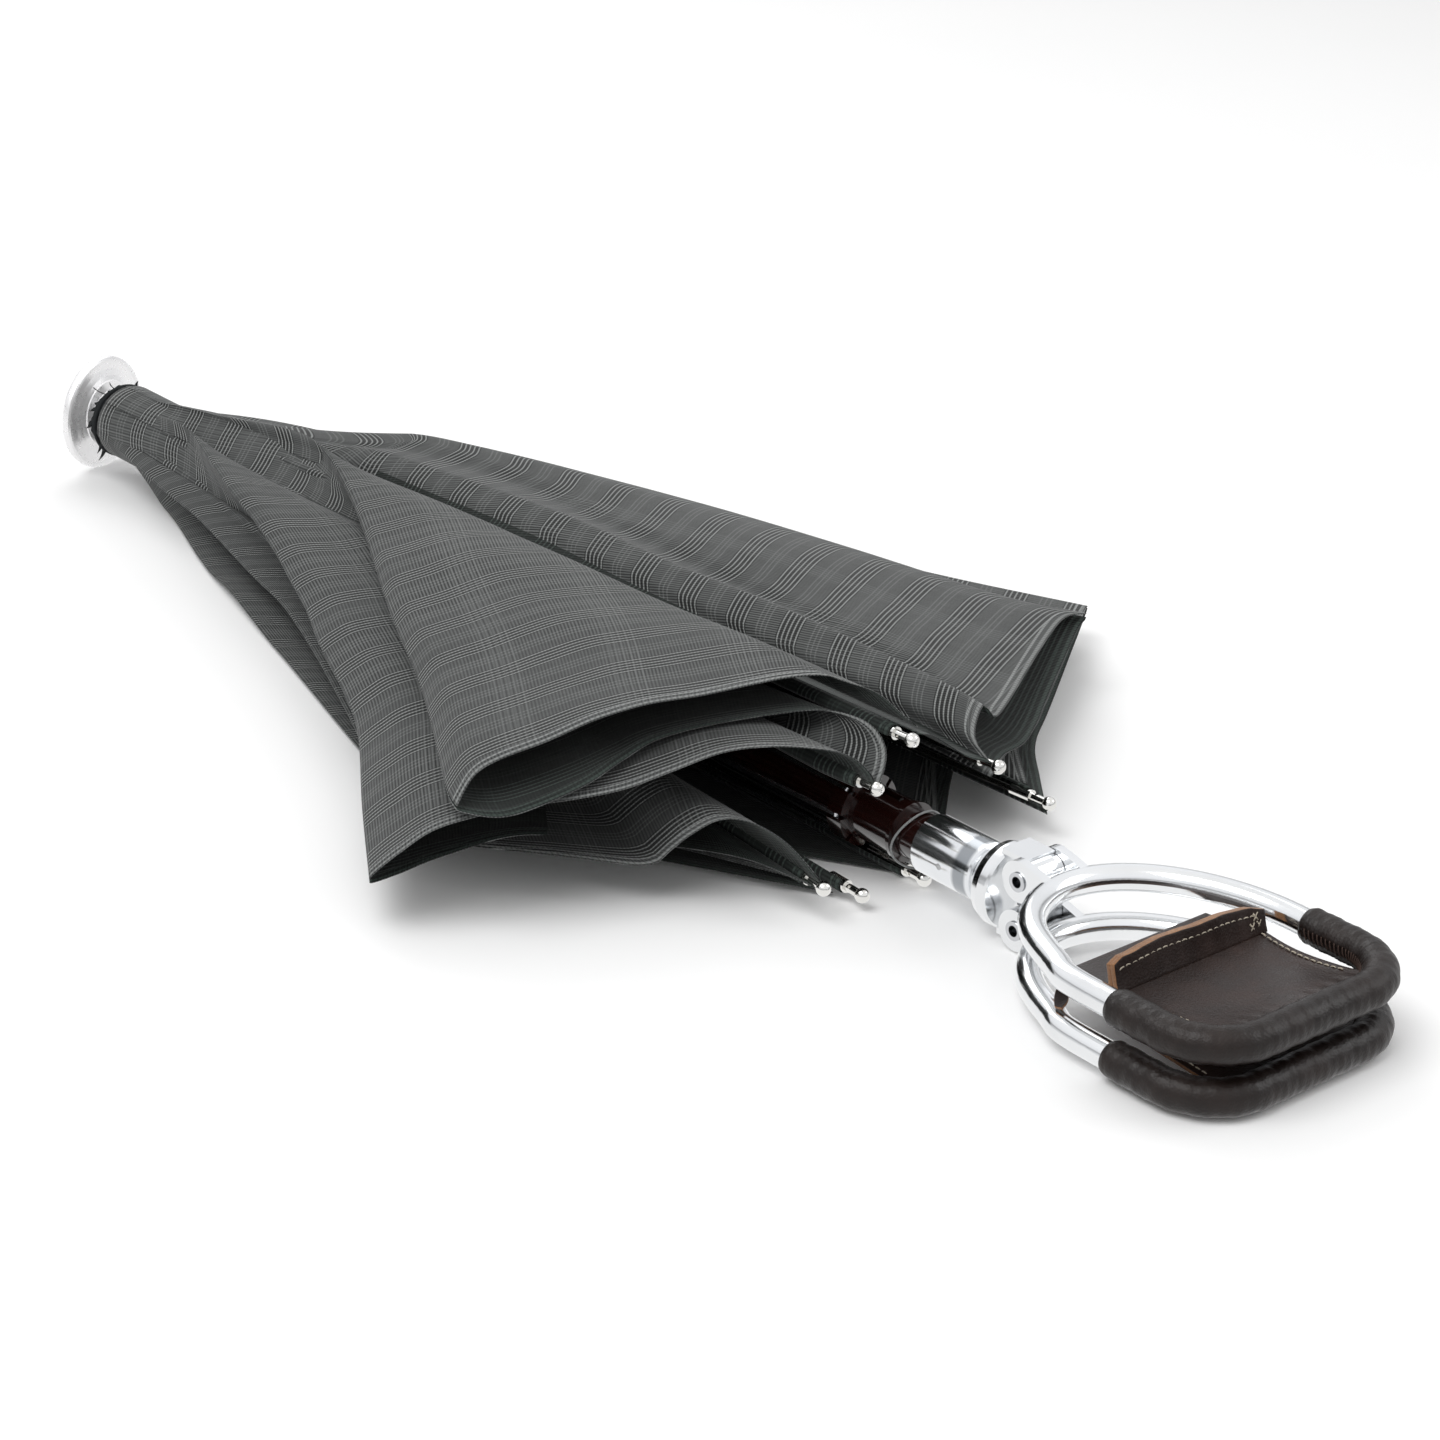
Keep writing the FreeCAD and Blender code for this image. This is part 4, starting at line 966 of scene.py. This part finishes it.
def loose_tag():
    """Tag that hangs out between the two loops."""
    rows, columns = 16, 9
    grid = []
    for t in np.linspace(0, 1, rows):
        for w in np.linspace(-1, 1, columns):
            x = SLING_FOLD_X + 2 + 11 * t + w * (4.2 - 1.6 * t) + math.sin(t * 9 + w * 2) * 0.5
            z = LOWER_FOLD_Z - 2.4 * t - 1.5 * t * t + math.sin(t * 6 + w) * 0.6
            grid.append((x, -SLING_HALF + 3 - 15.0 * t, z))
    return leather_sheet("loose_tag", np.array(grid).reshape(rows, columns, 3), TAG_THICKNESS)


def lower_sling():
    parts = [lower_panel()]
    for side in (-1, 1):
        run = [(x, side * 38.8, lower_height((SLING_END_X - x) / (SLING_END_X - LOWER_FOLD_X), 1.5) + 0.1)
               for x in np.linspace(SLING_FOLD_X + 4, 876, 24)]
        parts += stitch_run("low_side_stitch_%d" % side, run, STITCH_LENGTH, 0.34)
    parts.append(loose_tag())
    piece = joined("lower_sling_leather", parts)
    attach(piece, "lower_sling")
    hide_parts("lower_sling")


upper_sling()
lower_sling()


# Floor, light and camera

FLOOR_HALF, FLOOR_Z = 4.0, -0.0002


def pale_floor():
    """White floor, which polished metal sees as evenly bright."""
    m = Nodes("pale_floor")
    tone = m.mix(m.noise(2.0), colour(0.96, 0.96, 0.96), colour(0.99, 0.99, 0.99))
    m.set(Base_Color=tone, Roughness=0.9, Specular_IOR_Level=0.1)
    glow = m.node("ShaderNodeEmission", Color=colour(1, 1, 1), Strength=1.0)
    path = m.node("ShaderNodeLightPath")
    mixer = m.node("ShaderNodeMixShader")
    m.put(mixer, 0, m.math("MAXIMUM", path.outputs["Is Glossy Ray"], path.outputs["Is Transmission Ray"]))
    m.put(mixer, 1, m.shader.outputs[0])
    m.put(mixer, 2, glow.outputs[0])
    m.put(m.tree.nodes["Material Output"], 0, mixer.outputs[0])
    mesh = bpy.data.meshes.new("floor")
    corners = [(-1, -1), (1, -1), (1, 1), (-1, 1)]
    mesh.from_pydata([(x * FLOOR_HALF, y * FLOOR_HALF, FLOOR_Z) for x, y in corners], [], [(0, 1, 2, 3)])
    mesh.materials.append(m.mat)
    return linked("floor", mesh)


floor = pale_floor()


def studio_world():
    """White for the camera, even light for the cloth, and bright and dark bands for metal."""
    world = bpy.data.worlds.new("studio")
    bpy.context.scene.world = world
    world.use_nodes = True
    nodes, links = world.node_tree.nodes, world.node_tree.links
    height = nodes.new("ShaderNodeSeparateXYZ")
    links.new(nodes.new("ShaderNodeTexCoord").outputs["Generated"], height.inputs[0])
    bands = nodes.new("ShaderNodeValToRGB")
    bands.color_ramp.elements[0].color = (0.8, 0.81, 0.83, 1)
    bands.color_ramp.elements[1].color = (1, 1, 1, 1)
    for position, tone in ((0.14, 0.7), (0.24, 0.3), (0.33, 0.9), (0.6, 1.0)):
        bands.color_ramp.elements.new(position).color = (tone, tone * 1.01, tone * 1.03, 1)
    links.new(height.outputs[2], bands.inputs[0])
    even_light = nodes["Background"]
    glossy, seen = nodes.new("ShaderNodeBackground"), nodes.new("ShaderNodeBackground")
    for background, strength in ((even_light, 0.62), (glossy, 1.0), (seen, 1.0)):
        background.inputs[0].default_value = (1, 1, 1, 1)
        background.inputs[1].default_value = strength
    links.new(bands.outputs[0], glossy.inputs[0])
    path = nodes.new("ShaderNodeLightPath")
    result = even_light.outputs[0]
    for ray, background in (("Is Glossy Ray", glossy), ("Is Camera Ray", seen)):
        mixer = nodes.new("ShaderNodeMixShader")
        links.new(path.outputs[ray], mixer.inputs[0])
        links.new(result, mixer.inputs[1])
        links.new(background.outputs[0], mixer.inputs[2])
        result = mixer.outputs[0]
    links.new(result, nodes["World Output"].inputs[0])


def soft_light(name, where, size, power):
    """Area light that faces the middle of the model."""
    data = bpy.data.lights.new(name, "AREA")
    data.shape = "RECTANGLE"
    data.size, data.size_y = size
    data.energy = power
    obj = linked(name, data)
    obj.location = where
    obj.rotation_euler = (-Vector(where)).to_track_quat("-Z", "Y").to_euler()


studio_world()
soft_light("key_light", (0.2, -1.1, 1.9), (1.6, 1.2), 22)
soft_light("fill_light", (-1.6, 0.6, 1.5), (1.4, 1.4), 10)
soft_light("back_light", (1.2, 1.4, 1.3), (1.2, 1.2), 9)

# Camera as fitted to the photo, in the level stick's frame
CAMERA_SPOT, CAMERA_LENS, SENSOR_WIDTH = (1632.8, -947.7, 663.7), 87.5, 36.0
AZIMUTH, ELEVATION, ROLL = math.radians(49.13), math.radians(24.43), math.radians(1.91)


def photo_camera():
    right = Vector((math.cos(AZIMUTH), math.sin(AZIMUTH), 0))
    back = Vector((math.sin(AZIMUTH) * math.cos(ELEVATION), -math.cos(AZIMUTH) * math.cos(ELEVATION),
                   math.sin(ELEVATION)))
    up = back.cross(right)
    axes = (right * math.cos(ROLL) + up * math.sin(ROLL), -right * math.sin(ROLL) + up * math.cos(ROLL), back)
    lay = Matrix.Rotation(LIE, 3, "Y")
    turned = Matrix([lay @ axis for axis in axes]).transposed()
    data = bpy.data.cameras.new("camera")
    data.lens = CAMERA_LENS
    data.sensor_width = SENSOR_WIDTH
    data.clip_start = 0.05
    camera = linked("camera", data)
    camera.matrix_world = Matrix.Translation(place(CAMERA_SPOT)) @ turned.to_4x4()
    return camera


bpy.context.scene.camera = photo_camera()
bpy.context.scene.view_settings.view_transform = "Standard"
